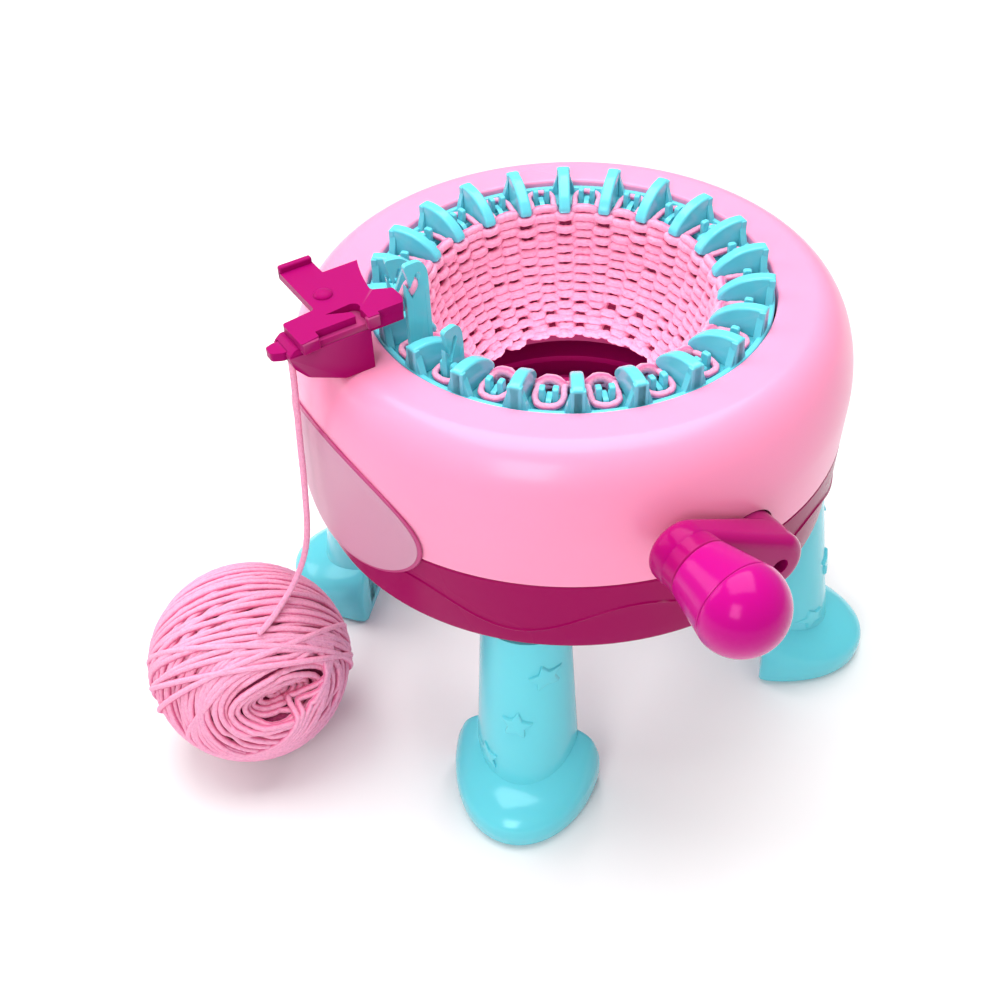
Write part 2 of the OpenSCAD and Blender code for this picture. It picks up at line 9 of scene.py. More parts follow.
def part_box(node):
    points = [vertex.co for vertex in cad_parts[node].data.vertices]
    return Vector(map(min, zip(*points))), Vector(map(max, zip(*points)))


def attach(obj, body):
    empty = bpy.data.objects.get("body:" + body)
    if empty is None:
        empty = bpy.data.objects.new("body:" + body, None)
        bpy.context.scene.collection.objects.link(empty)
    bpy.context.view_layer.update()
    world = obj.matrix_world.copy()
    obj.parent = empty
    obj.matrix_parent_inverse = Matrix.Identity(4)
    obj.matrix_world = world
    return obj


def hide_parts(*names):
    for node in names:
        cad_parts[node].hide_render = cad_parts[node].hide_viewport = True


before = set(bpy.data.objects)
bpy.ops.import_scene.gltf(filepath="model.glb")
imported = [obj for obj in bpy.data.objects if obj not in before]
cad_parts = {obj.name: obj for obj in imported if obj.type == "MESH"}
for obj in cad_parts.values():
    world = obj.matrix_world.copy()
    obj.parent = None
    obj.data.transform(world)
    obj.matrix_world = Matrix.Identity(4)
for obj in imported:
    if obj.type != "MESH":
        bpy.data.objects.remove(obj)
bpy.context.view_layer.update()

# Circular knitting machine. Shapes are built in millimetres and scaled to metres by build().
MM = 0.001
rng = np.random.default_rng(7)


# ---------- places taken from the frame ----------

def box_mm(node):
    lo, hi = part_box(node)
    return np.array(lo) / MM, np.array(hi) / MM


cover_lo, cover_hi = box_mm("top_cover")
base_lo, base_hi = box_mm("base_tray")
BODY_R = cover_hi[1]
TOP_Z = cover_hi[2]
SEAM_Z = cover_lo[2]
BASE_Z = base_lo[2]
BASE_TOP_R = base_hi[1]
CROWN_R = box_mm("crown_ring")[1][1]
KNOB = (box_mm("knob_cap")[0] + box_mm("knob_cap")[1]) / 2
CRANK_Z = ((box_mm("crank_shaft")[0] + box_mm("crank_shaft")[1]) / 2)[2]
BALL_LO, BALL_HI = box_mm("yarn_ball")

OPEN_R = 78.2  # the cover's opening
FLAT_R = 91.5  # where the cover's flat top turns into the dome
SHOULDER_Z = 148.5  # where the dome meets the upright wall
DOME_W, DOME_H = BODY_R - FLAT_R, TOP_Z - SHOULDER_Z
BASE_BOTTOM_R = BASE_TOP_R - 1.0
BAND_T = 1.3  # how far the base's upper band stands out
EXIT_R = 46  # the opening in the base's floor
DECK_Z = 178  # top of the crown's deck
FIN_R = 76.7
NEEDLES = 22
PITCH = 360 / NEEDLES
NEEDLE_AZ = [PITCH * (i + 0.5) for i in range(NEEDLES)]
ALONG_X, ALONG_Y = (0, math.pi / 2, 0), (math.pi / 2, 0, 0)


# ---------- materials ----------

class Nodes:
    """Short names for a material's shader nodes."""

    def __init__(self, name):
        self.mat = bpy.data.materials.new(name)
        self.mat.use_nodes = True
        self.tree = self.mat.node_tree
        self.bsdf = self.tree.nodes["Principled BSDF"]

    def add(self, kind, **settings):
        node = self.tree.nodes.new(kind)
        for key, value in settings.items():
            if key in node.inputs.keys():
                node.inputs[key].default_value = value
            else:
                setattr(node, key, value)
        return node

    def link(self, a, out, b, inp):
        self.tree.links.new(a.outputs[out], b.inputs[inp])

    def set(self, **values):
        for key, value in values.items():
            self.bsdf.inputs[key.replace("_", " ")].default_value = value


def srgb(r, g, b):
    """Linear colour of an 8-bit sRGB one."""
    lin = [c / 255 / 12.92 if c <= 10 else ((c / 255 + 0.055) / 1.055) ** 2.4 for c in (r, g, b)]
    return (*lin, 1)


def shade(colour, k):
    return (*[min(1, c * k) for c in colour[:3]], 1)


def pale(colour, k):
    """The colour mixed with k of white."""
    return (*[c + (1 - c) * k for c in colour[:3]], 1)


def mix_colours(m, first, second, kind="MIX"):
    """Mixes two colours, each a ramp or a plain one, into the base colour. Returns the factor's socket."""
    mix = m.add("ShaderNodeMix", data_type="RGBA", blend_type=kind)
    for at, colour in ((6, first), (7, second)):
        if isinstance(colour, tuple):
            mix.inputs[at].default_value = colour
        else:
            m.tree.links.new(colour.outputs["Color"], mix.inputs[at])
    m.tree.links.new(mix.outputs[2], m.bsdf.inputs["Base Color"])
    return mix.inputs[0]


def noise(m, scale, detail=3, rough=0.5, stretch=None):
    tex = m.add("ShaderNodeTexCoord")
    n = m.add("ShaderNodeTexNoise", Scale=scale, Detail=detail, Roughness=rough)
    if stretch:
        mapping = m.add("ShaderNodeMapping", Scale=stretch)
        m.link(tex, "Object", mapping, "Vector")
        m.link(mapping, "Vector", n, "Vector")
    else:
        m.link(tex, "Object", n, "Vector")
    return n


def ramp(m, source, out, stops):
    node = m.add("ShaderNodeValToRGB")
    for i, (pos, value) in enumerate(stops):
        e = node.color_ramp.elements[i] if i < 2 else node.color_ramp.elements.new(pos)
        e.position = pos
        e.color = value if hasattr(value, "__len__") else (value, value, value, 1)
    m.link(source, out, node, "Fac")
    return node


def bump(m, source, out, strength, distance):
    node = m.add("ShaderNodeBump", Strength=strength, Distance=distance)
    m.link(source, out, node, "Height")
    m.link(node, "Normal", m.bsdf, "Normal")


def plastic(name, colour, rough=0.2, scatter=0.06, coat=0.25, shine=0.5, tint=0.35):
    """Glossy moulded plastic: faint flow marks, paler worn edges, uneven gloss and a fine orange peel."""
    m = Nodes(name)
    flow = ramp(m, noise(m, 14, 2, 0.5), "Fac", [(0.3, shade(colour, 0.975)), (0.7, shade(colour, 1.02))])
    edge = ramp(m, m.add("ShaderNodeNewGeometry"), "Pointiness", [(0.54, 0.0), (0.68, 0.16)])
    m.tree.links.new(edge.outputs["Color"], mix_colours(m, flow, pale(colour, 0.35)))
    gloss = ramp(m, noise(m, 22, 1, 0.4), "Fac", [(0.25, max(rough - 0.03, 0.03)), (0.75, rough + 0.05)])
    m.link(gloss, "Color", m.bsdf, "Roughness")
    bump(m, noise(m, 700, 2, 0.4), "Fac", 0.02, 0.0002)
    m.set(Subsurface_Weight=scatter, Subsurface_Scale=0.004, Coat_Weight=coat, Coat_Roughness=0.08,
          Specular_IOR_Level=shine, Specular_Tint=pale(colour, tint))
    return m.mat


def chain(m, source, out, *steps):
    """Math nodes in a row, each with its fixed second value."""
    for operation, value in steps:
        node = m.add("ShaderNodeMath", operation=operation)
        node.inputs[1].default_value = value
        m.link(source, out, node, 0)
        source, out = node, 0
    return source


def yarn_material(name, colour, painted_flank_shade=0.42):
    """Soft spun yarn: slanting fibres with paler tips, and painted shade on the strands' sides. The last argument
    sets how light that painted shade is.
    """
    m = Nodes(name)
    uv = m.add("ShaderNodeUVMap", uv_map="strand")
    twist = m.add("ShaderNodeMapping", Rotation=(0, 0, 0.5), Scale=(0.9, 7, 1))
    m.link(uv, "UV", twist, "Vector")
    fibres = m.add("ShaderNodeTexNoise", Scale=2.6, Detail=5, Roughness=0.65, Distortion=0.6)
    m.link(twist, "Vector", fibres, "Vector")
    both = chain(m, noise(m, 700, 3, 0.6), "Fac", ("MULTIPLY_ADD", 0.3))
    m.link(chain(m, fibres, "Fac", ("MULTIPLY", 0.7)), 0, both, 2)
    tint = ramp(m, both, 0, [(0.3, shade(colour, 0.72)), (0.5, colour), (0.72, pale(colour, 0.22))])
    # painted shade: the flanks, where strands lie against each other, are darkened to a deeper pink, as if shaded in
    # the crease
    parts = m.add("ShaderNodeSeparateXYZ")
    m.link(uv, "UV", parts, "Vector")
    facing = chain(m, parts, "Y", ("MULTIPLY", 2 * math.pi), ("SINE", 0), ("ABSOLUTE", 0))
    flank_shade_colour = (0.72 + 0.28 * painted_flank_shade, painted_flank_shade, 0.28 + 0.72 * painted_flank_shade, 1)
    flank_shade_ramp = ramp(m, facing, 0, [(0.1, flank_shade_colour), (0.72, (1, 1, 1, 1))])
    mix_colours(m, tint, flank_shade_ramp, "MULTIPLY").default_value = 1
    bump(m, both, 0, 0.75, 0.0006)
    m.set(Roughness=0.9, Sheen_Weight=0.16, Sheen_Roughness=0.4, Sheen_Tint=(1, 0.8, 0.9, 1),
          Subsurface_Weight=0.1, Subsurface_Scale=0.002, Specular_IOR_Level=0.15)
    return m.mat


def metal(name, colour, rough):
    """Turned or plated metal with fine rings of tool marks."""
    m = Nodes(name)
    marks = noise(m, 900, 3, 0.5, stretch=(1, 1, 6))
    tone = ramp(m, marks, "Fac", [(0.3, shade(colour, 0.85)), (0.7, shade(colour, 1.08))])
    m.link(tone, "Color", m.bsdf, "Base Color")
    gloss = ramp(m, noise(m, 250, 3), "Fac", [(0.3, rough * 0.8), (0.7, rough * 1.3)])
    m.link(gloss, "Color", m.bsdf, "Roughness")
    bump(m, marks, "Fac", 0.08, 0.0002)
    m.set(Metallic=1.0)
    return m.mat


ROSE = plastic("rose_plastic", srgb(248, 149, 186), rough=0.3, scatter=0.1, coat=0.1)
MAGENTA = plastic("magenta_plastic", srgb(152, 6, 84), rough=0.24, coat=0.0, shine=0.14, tint=0.1)
TEAL = plastic("teal_plastic", srgb(100, 206, 220), rough=0.17, scatter=0.12, coat=0.2)
FEEDER = plastic("feeder_plastic", srgb(160, 5, 98), rough=0.38, coat=0.0, shine=0.14, tint=0.1)
CRANK = plastic("crank_plastic", srgb(166, 4, 102), rough=0.14, coat=0.0, shine=0.4, tint=0.12)
KNOB_PINK = plastic("knob_plastic", srgb(188, 6, 128), rough=0.12, coat=0.0, shine=0.5, tint=0.2)
LABEL = plastic("label_plastic", srgb(200, 142, 166), rough=0.38, coat=0.0, shine=0.3)
LABEL_RIM = plastic("label_rim_plastic", srgb(176, 40, 110), rough=0.3)
WHITE = plastic("white_plastic", srgb(238, 234, 226), rough=0.42, coat=0.0)
LILAC = plastic("lilac_plastic", srgb(186, 168, 214), rough=0.42, coat=0.0)
BRASS = metal("turned_brass", srgb(206, 164, 84), 0.3)
STEEL = metal("plated_steel", srgb(186, 188, 194), 0.28)
YARN = yarn_material("yarn_soft", srgb(250, 166, 200))
CORD = yarn_material("yarn_cord", srgb(248, 168, 202), painted_flank_shade=0.85)
# a dark pink that paints the shade in the gaps between stitches and between the ball's turns
SHADE_YARN = yarn_material("yarn_painted_shade", srgb(158, 48, 98))


# ---------- mesh helpers ----------

def finish_piece(obj, body, replaced=()):
    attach(obj, body)
    if replaced:
        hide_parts(*replaced)


def put_in(name, data):
    """A new object in the scene."""
    obj = bpy.data.objects.new(name, data)
    bpy.context.scene.collection.objects.link(obj)
    return obj


def new_object(name, mesh, material):
    mesh.materials.append(material)
    return put_in(name, mesh)


def build(name, verts, faces, material, sharp=35):
    """A smooth-shaded mesh from points in mm; points in one place are joined and normals look outwards."""
    mesh = bpy.data.meshes.new(name)
    mesh.from_pydata([tuple(float(c) * MM for c in v) for v in verts], [], [tuple(f) for f in faces])
    bm = bmesh.new()
    bm.from_mesh(mesh)
    bmesh.ops.remove_doubles(bm, verts=bm.verts, dist=1e-7)
    bmesh.ops.recalc_face_normals(bm, faces=bm.faces)
    bm.to_mesh(mesh)
    bm.free()
    mesh.shade_smooth()
    mesh.set_sharp_from_angle(angle=math.radians(sharp))
    return new_object(name, mesh, material)


def settle(obj):
    """Replaces an object's modifiers by their result."""
    bpy.context.view_layer.update()
    graph = bpy.context.evaluated_depsgraph_get()
    mesh = bpy.data.meshes.new_from_object(obj.evaluated_get(graph), depsgraph=graph)
    obj.modifiers.clear()
    obj.data = mesh
    return obj


def bevel(obj, width, segments=3, angle=30):
    mod = obj.modifiers.new("bevel", "BEVEL")
    mod.width = width * MM
    mod.segments = segments
    mod.limit_method = "ANGLE"
    mod.angle_limit = math.radians(angle)
    mod.harden_normals = True
    obj.data.shade_smooth()
    return settle(obj)


def cut(obj, cutter):
    """Takes the cutter's solid out of obj, and removes the cutter."""
    mod = obj.modifiers.new("cut", "BOOLEAN")
    mod.operation = "DIFFERENCE"
    mod.solver = "EXACT"
    mod.object = cutter
    settle(obj)
    bpy.data.objects.remove(cutter)
    stale = obj.data.attributes.get("custom_normal")
    if stale:
        obj.data.attributes.remove(stale)
    obj.data.shade_smooth()
    obj.data.set_sharp_from_angle(angle=math.radians(35))
    return obj


def bore(obj, radius, depth, middle, rotation, steps):
    """Drills a round hole."""
    bpy.ops.mesh.primitive_cylinder_add(vertices=steps, radius=radius * MM, depth=depth * MM,
                                        location=[c * MM for c in middle], rotation=rotation)
    return cut(obj, bpy.context.object)


def join(name, parts):
    """One object from several, with their materials kept."""
    mesh = bpy.data.meshes.new(name)
    bm = bmesh.new()
    materials = []
    for part in parts:
        start = len(bm.faces)
        bm.from_mesh(part.data)
        bm.faces.ensure_lookup_table()
        for m in part.data.materials:
            if m not in materials:
                materials.append(m)
        slots = [materials.index(m) for m in part.data.materials]
        for f in bm.faces[start:]:
            f.material_index = slots[min(f.material_index, len(slots) - 1)]
    bm.to_mesh(mesh)
    bm.free()
    for m in materials:
        mesh.materials.append(m)
    for part in parts:
        bpy.data.objects.remove(part)
    return put_in(name, mesh)


def rounded(points, radius, steps=5):
    """An outline with its corners rounded. radius is one number, or one for each corner."""
    pts = [np.array(p, float) for p in points]
    radii = radius if hasattr(radius, "__len__") else [radius] * len(pts)
    out = []
    for i, p in enumerate(pts):
        a, b = pts[i - 1] - p, pts[(i + 1) % len(pts)] - p
        la, lb = np.linalg.norm(a), np.linalg.norm(b)
        r = min(radii[i], 0.45 * min(la, lb))
        if r <= 0:
            out.append(p)
            continue
        start, end = p + a / la * r, p + b / lb * r
        for k in range(steps + 1):
            t = k / steps
            out.append((1 - t) ** 2 * start + 2 * t * (1 - t) * p + t * t * end)
    return out


def cos_sin(degrees):
    return math.cos(math.radians(degrees)), math.sin(math.radians(degrees))


def arc(cx, cy, rx, ry, a0, a1, n):
    """Points on an ellipse from angle a0 to a1, in degrees."""
    return [(cx + rx * c, cy + ry * s) for c, s in map(cos_sin, np.linspace(a0, a1, n))]


def around(steps):
    """Angles in radians, evenly round a circle."""
    return np.linspace(0, 2 * math.pi, steps, endpoint=False)


def quads(rows, per, closed=False):
    """Faces between rings of points, per points to a ring. closed joins the last ring to the first."""
    starts = [(i * per, (i + 1) % rows * per) for i in range(rows if closed else rows - 1)]
    return [(a + j, a + (j + 1) % per, b + (j + 1) % per, b + j) for a, b in starts for j in range(per)]


def lathe(name, profile, material, steps=224, sharp=35):
    """A closed (r, z) outline turned about Z."""
    verts = [(r * math.cos(t), r * math.sin(t), z) for t in around(steps) for r, z in profile]
    return build(name, verts, quads(steps, len(profile), True), material, sharp)


def x_lathe(name, profile, centre, material, steps=96, sharp=35):
    """A closed (x, r) outline turned about the line through centre along X. Ends on r = 0 close up."""
    verts = [(x, centre[0] + r * math.cos(t), centre[1] + r * math.sin(t))
             for t in around(steps) for x, r in profile]
    return build(name, verts, quads(steps, len(profile), True), material, sharp)


def prism(name, outline, material, place, t0, t1, edge=0.4, segments=3, sharp=40):
    """An outline made thick from t0 to t1. place(u, v, t) gives the point."""
    n = len(outline)
    verts = [place(u, v, t) for t in (t0, t1) for u, v in outline]
    faces = [list(range(n))[::-1], list(range(n, 2 * n))]
    faces += [(i, (i + 1) % n, n + (i + 1) % n, n + i) for i in range(n)]
    obj = build(name, verts, faces, material, sharp)
    return bevel(obj, edge, segments, sharp) if edge else obj


def radial(az):
    """place() for an (r, z) outline in the radial plane at azimuth az."""
    c, s = cos_sin(az)
    return lambda r, z, t: (r * c - t * s, r * s + t * c, z)


def flat(u, v, t):
    """place() for an (x, y) outline."""
    return (u, v, t)


def upright(u, v, t):
    """place() for a (y, z) outline."""
    return (t, u, v)


def smooth_path(points, per):
    """Catmull-Rom curve through points, per steps for each stretch."""
    p = np.array(points, float)
    ext = np.vstack([2 * p[0] - p[1], p, 2 * p[-1] - p[-2]])
    out = []
    for i in range(len(p) - 1):
        a, b, c, d = ext[i:i + 4]
        for t in np.arange(per) / per:
            out.append(0.5 * (2 * b + (c - a) * t + (2 * a - 5 * b + 4 * c - d) * t ** 2
                              + (3 * b - a - 3 * c + d) * t ** 3))
    return np.array(out + [p[-1]])


def strands(name, paths, refs, material, radius, sides=10, lumps=0.05):
    """Yarn tubes along paths in mm, in one mesh with a "strand" UV map: u along the yarn, v around it."""
    verts, sheets, uvs, tris, tri_uvs = [], [], [], [], []
    base = 0
    turn = around(sides)
    for path, ref in zip(paths, refs):
        p = np.asarray(path, float)
        n = len(p)
        tangent = np.gradient(p, axis=0)
        tangent /= np.linalg.norm(tangent, axis=1)[:, None]
        side = np.cross(tangent, np.broadcast_to(ref, (n, 3)))
        side /= np.linalg.norm(side, axis=1)[:, None]
        up = np.cross(side, tangent)
        along = np.concatenate([[0], np.cumsum(np.linalg.norm(np.diff(p, axis=0), axis=1))])
        phase = rng.uniform(0, 50)
        swell = 1 + lumps * (np.sin(along * 1.9 + phase) + 0.7 * np.sin(along * 4.7 + 2 * phase)) / 1.7
        swell[0] *= 0.55
        swell[-1] *= 0.55
        ring = p[:, None] + radius * swell[:, None, None] * (
            np.cos(turn)[None, :, None] * side[:, None] + np.sin(turn)[None, :, None] * up[:, None])
        verts.append(ring.reshape(-1, 3))
        verts.append(np.array([p[0] - tangent[0] * radius * 0.25, p[-1] + tangent[-1] * radius * 0.25]))
        i, k = np.meshgrid(np.arange(n - 1), np.arange(sides), indexing="ij")
        sheets.append(base + np.array(quads(n, sides)))
        u = along / (2 * radius)
        uvs.append(np.stack([
            np.stack([u[i], k / sides], -1), np.stack([u[i], (k + 1) / sides], -1),
            np.stack([u[i + 1], (k + 1) / sides], -1), np.stack([u[i + 1], k / sides], -1)], 2).reshape(-1, 2))
        k = np.arange(sides)
        poles = base + n * sides
        tris.append(np.stack([base + (k + 1) % sides, base + k, np.full(sides, poles)], -1))
        last = base + (n - 1) * sides
        tris.append(np.stack([last + k, last + (k + 1) % sides, np.full(sides, poles + 1)], -1))
        for at in (u[0], u[-1]):
            tri_uvs.append(np.stack([np.full(3 * sides, at), np.tile([0, 0.1, 0.05], sides)], -1))
        base += n * sides + 2
    verts, sheets, tris = np.vstack(verts), np.vstack(sheets), np.vstack(tris)
    mesh = bpy.data.meshes.new(name)
    mesh.vertices.add(len(verts))
    mesh.vertices.foreach_set("co", (verts * MM).astype(np.float32).ravel())
    loops = np.concatenate([sheets.ravel(), tris.ravel()])
    mesh.loops.add(len(loops))
    mesh.loops.foreach_set("vertex_index", loops.astype(np.int32))
    sizes = np.concatenate([np.full(len(sheets), 4), np.full(len(tris), 3)])
    mesh.polygons.add(len(sizes))
    mesh.polygons.foreach_set("loop_start", np.concatenate([[0], np.cumsum(sizes)[:-1]]).astype(np.int32))
    mesh.update(calc_edges=True)
    mesh.validate()
    layer = mesh.uv_layers.new(name="strand")
    layer.data.foreach_set("uv", np.vstack(uvs + tri_uvs).astype(np.float32).ravel())
    mesh.shade_smooth()
    return new_object(name, mesh, material)


# ---------- camera, then the cord ----------

def camera():
    """The photograph's view, looking down on the machine from the crank's side."""
    forward = Vector((-0.6295, 0.3763, -0.6798)).normalized()
    roll = -0.044
    right = forward.cross(Vector((0, 0, 1))).normalized()
    up = right.cross(forward)
    x = math.cos(roll) * right + math.sin(roll) * up
    y = -math.sin(roll) * right + math.cos(roll) * up
    data = bpy.data.cameras.new("camera")
    data.lens = 46.8
    data.sensor_width = 36
    cam = put_in("camera", data)
    cam.matrix_world = Matrix((
        (x.x, y.x, -forward.x, 0.34425), (x.y, y.y, -forward.y, -0.24105),
        (x.z, y.z, -forward.z, 0.45925), (0, 0, 0, 1)))
    bpy.context.scene.camera = cam


# The strand's route, in metres: down from the feeder, then over the top of the ball
STRAND_ROUTE = [
    (-0.006, -0.1136, 0.194), (-0.006, -0.1137, 0.186), (-0.006, -0.1142, 0.176), (-0.006, -0.115, 0.164),
    (-0.006, -0.1158, 0.152), (-0.006, -0.1165, 0.14), (-0.0062, -0.1173, 0.128), (-0.0066, -0.1182, 0.116),
    (-0.0073, -0.1194, 0.106), (-0.0082, -0.1212, 0.0975), (-0.009, -0.1236, 0.0905),
    (-0.009, -0.1266, 0.0853), (-0.0076, -0.13, 0.0826), (-0.0052, -0.1336, 0.0818),
    (-0.0024, -0.1374, 0.0816), (0.0004, -0.1414, 0.0813), (0.0026, -0.1456, 0.0807), (0.004, -0.15, 0.0798)]


def yarn_strand():
    path = smooth_path(np.array(STRAND_ROUTE) / MM, 12)
    strand = strands("yarn_strand_twisted", [path], [(1, 0, 0)], CORD, radius=1.2, sides=14)
    finish_piece(strand, "chassis", ["yarn_strand"])
    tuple(STRAND_ROUTE[0])


# ---------- the shells ----------

def hub_hole(obj):
    """The round hole round the crank's hub, halfway across the seam."""
    return bore(obj, 12.2, 14, (112.5, 0, CRANK_Z), ALONG_X, 96)


def top_cover():
    wall, lip, lip_z = 2.4, 1.3, 173
    profile = arc(OPEN_R + lip, TOP_Z - lip, lip, lip, 180, 90, 7)
    profile += [(r, TOP_Z) for r in np.linspace(81, FLAT_R - 0.5, 6)]
    profile += arc(FLAT_R, SHOULDER_Z, DOME_W, DOME_H, 90, 0, 60)
    profile += [(BODY_R - 0.35, SHOULDER_Z - 10), (BASE_TOP_R, SEAM_Z + 0.6), (BASE_TOP_R - 0.5, SEAM_Z + 0.05)]
    profile += [(BASE_TOP_R - wall, SEAM_Z + 0.05), (BODY_R - wall, SHOULDER_Z)]
    profile += arc(FLAT_R, SHOULDER_Z, DOME_W - wall, DOME_H - wall, 6, 90, 20)
    profile += [(OPEN_R + wall, TOP_Z - wall), (OPEN_R + wall, lip_z), (OPEN_R, lip_z)]
    finish_piece(hub_hole(lathe("top_cover_shell", profile, ROSE)), "chassis", ["top_cover"])


def wave_z(t):
    """Height of the moulded wave line round the base, at angle t in radians."""
    return 111.3 + 1.5 * np.cos(4 * t) - 5.7 * np.cos(8 * t)


def base_tray():
    """The base: its outer wall steps out above a wave line; inside are the floor's rings and the exit's rim."""
    steps = 448
    t = around(steps)
    line = wave_z(t)

    def level(r, z):
        return np.full(steps, r), np.full(steps, z)

    recess_r, slope = BASE_BOTTOM_R - BAND_T, (BASE_TOP_R - BASE_BOTTOM_R) / (SEAM_Z - BASE_Z)
    rows = [level(recess_r - 3.0, BASE_Z)]
    rows += [level(r, z) for r, z in arc(recess_r - 2.2, BASE_Z + 2.2, 2.2, 2.2, -90, 0, 7)]
    low = BASE_Z + 3
    for f in np.linspace(0, 1, 5)[1:]:
        z = low + (line - 1.2 - low) * f
        rows.append((recess_r + slope * (z - BASE_Z), z))
    bead = [(-0.9, 0.03), (-0.7, 0.25), (-0.5, 0.75), (-0.35, 1.15), (-0.1, 1.35), (0.2, 1.4), (0.45, 1.3),
            (0.62, 1.1), (0.8, 1.0)]
    for dz, out in bead:
        z = line + dz
        rows.append((recess_r + slope * (z - BASE_Z) + BAND_T * out, z))
    top = SEAM_Z - 0.7
    for f in np.linspace(0, 1, 5)[1:]:
        z = line + 0.8 + (top - line - 0.8) * f
        rows.append((recess_r + slope * (z - BASE_Z) + BAND_T, z))
    rows.append(level(BASE_TOP_R - 0.5, SEAM_Z - 0.05))
    inner = [(BASE_TOP_R - BAND_T - 2.4, SEAM_Z - 0.05), (BASE_BOTTOM_R - BAND_T - 2.4, 97), (87, 97), (87, 106.9),
             (83, 106.9), (83, 102), (80.4, 102), (79.8, 101.6), (79, 99.7), (78.4, 99.5), (65.6, 99.5),
             (65, 99.3), (64.2, 97.2), (63.6, 97), (49.6, 97), (49, 97.5), (49, 100.4), (48.4, 101), (46.6, 101),
             (EXIT_R, 100.4), (EXIT_R, 94.6), (46.6, 94)]
    rows += [level(r, z) for r, z in inner]
    verts = [(r[i] * math.cos(t[i]), r[i] * math.sin(t[i]), z[i]) for i in range(steps) for r, z in rows]
    shell = hub_hole(build("base_tray_shell", verts, quads(steps, len(rows), True), MAGENTA, sharp=40))
    pillar = prism("pillar", [(100, -10), (106, -10), (106, 10), (100, 10)], MAGENTA, flat, 96, 145, 0.6)
    bosses = []
    for az in (22.5, 112.5, 202.5, 292.5):
        c, s = cos_sin(az)
        ring = arc(101 * c, 101 * s, 4.2, 4.2, 0, 345, 24)
        bosses.append(prism("boss", ring, MAGENTA, flat, 95, 128.3, 0.3))
    finish_piece(join("base_tray_body", [shell, pillar, *bosses]), "chassis", ["base_tray"])


def label_plate():
    """A blank oval on the body's front, with a thin raised rim."""
    half_w, half_h, middle_z = 50, 27, 134

    def skin(z):
        if z <= SHOULDER_Z:
            return BODY_R
        return FLAT_R + DOME_W * math.sqrt(max(0, 1 - ((z - SHOULDER_Z) / DOME_H) ** 2))

    def place(x, z, out):
        r = skin(z) + out
        return (x, -math.sqrt(max(r * r - x * x, 0)), z)

    def oval(name, rim, back, front, material):
        """Rings from the middle of the back out to the edge, then in to the middle of the front."""
        rings, steps = 14, 120
        levels = [(k, back) for k in range(rings + 1)] + [(rings, front - 0.35)]
        levels += [(k, front) for k in range(rings - 1, -1, -1)]
        verts = [place((half_w - rim) * k / rings * math.cos(a), middle_z + (half_h - rim) * k / rings * math.sin(a),
                       out) for k, out in levels for a in around(steps)]
        return build(name, verts, quads(len(levels), steps), material, 40)

    plate = oval("label_face", 1.2, 0.2, 1.4, LABEL)
    rim = oval("label_rim", 0, 0.15, 1.05, LABEL_RIM)
    finish_piece(join("label_oval", [rim, plate]), "chassis", ["label_plate"])


# ---------- legs ----------

LEG_IN = 91.5  # where the legs' flat backs stand


def d_section(half_w, depth, n=40):
    """A D: round outside, flat towards the knitting axis, with soft back corners. Points are (depth, width)."""
    pts = [(depth * math.cos(a), half_w * math.sin(a)) for a in np.linspace(-math.pi / 2, math.pi / 2, n)]
    pts = [(d, w) for d, w in pts if d > 1.2]
    back = half_w - 0.4
    pts = [(0.25, -back + 1.0), (0.8, -back + 0.2)] + pts + [(0.8, back - 0.2), (0.25, back - 1.0)]
    return pts + [(0, w) for w in np.linspace(back - 1.6, -back + 1.6, 8)]


def spline(keys, z, column):
    """Smooth value of one column of the (z, half width, depth) keys at height z."""
    zs, vs = [k[0] for k in keys], [k[column] for k in keys]
    slope = np.gradient(vs, zs)
    i = int(np.clip(np.searchsorted(zs, z) - 1, 0, len(zs) - 2))
    h = zs[i + 1] - zs[i]
    t = (z - zs[i]) / h
    return ((1 + 2 * t) * (1 - t) ** 2 * vs[i] + t * (1 - t) ** 2 * h * slope[i]
            + t * t * (3 - 2 * t) * vs[i + 1] + t * t * (t - 1) * h * slope[i + 1])


def loft(name, sections, heights, az, material):
    """A leg's solid through D sections; each has one height, or one for each of its points."""
    place = radial(az)
    n = len(sections[0])
    verts = []
    for section, zs in zip(sections, heights):
        zs = zs if hasattr(zs, "__len__") else [zs] * n
        verts += [place(LEG_IN + d, z, w) for (d, w), z in zip(section, zs)]
    faces = quads(len(sections), n)
    faces += [tuple(range(n))[::-1], tuple(range((len(sections) - 1) * n, len(sections) * n))]
    return build(name, verts, faces, material, 50)


def star(az, t0, z0, size, turn):
    """A five-pointed star in low relief on the column's round face."""
    place = radial(az)
    outline = []
    for k in range(10):
        r = size if k % 2 == 0 else size * 0.5
        a = math.radians(90 + 36 * k + turn)
        outline.append((r * math.cos(a), r * math.sin(a)))
    outline = rounded(outline, [size * 0.16, size * 0.1] * 5, 3)
    steps = len(outline)

    def on_face(u, v, out):
        t, z = t0 + u, z0 + v
        half_w, depth = column_size(z)
        d = depth * math.sqrt(max(0, 1 - (t / half_w) ** 2)) + out
        return place(LEG_IN + d, z, t)

    verts = []
    shells = [(1.05, -0.6), (1.03, 0.1), (0.99, 0.8), (0.95, 1.05), (0.88, 1.15), (0.4, 1.15)]
    for k, out in shells:
        verts += [on_face(u * k, v * k, out) for u, v in outline]
    verts.append(on_face(0, 0, 1.15))
    faces = quads(len(shells), steps)
    last = (len(shells) - 1) * steps
    faces += [(last + i, last + (i + 1) % steps, len(verts) - 1) for i in range(steps)]
    faces.append(tuple(range(steps))[::-1])
    return build("star", verts, faces, TEAL, 45)


def column_size(z):
    """Half width and depth of the column at height z: it flares towards the foot."""
    f = np.clip((BASE_Z - 0.2 - z) / 80, 0, 1)
    return 17.5 + 4.0 * f, 15.4 + 11.5 * f


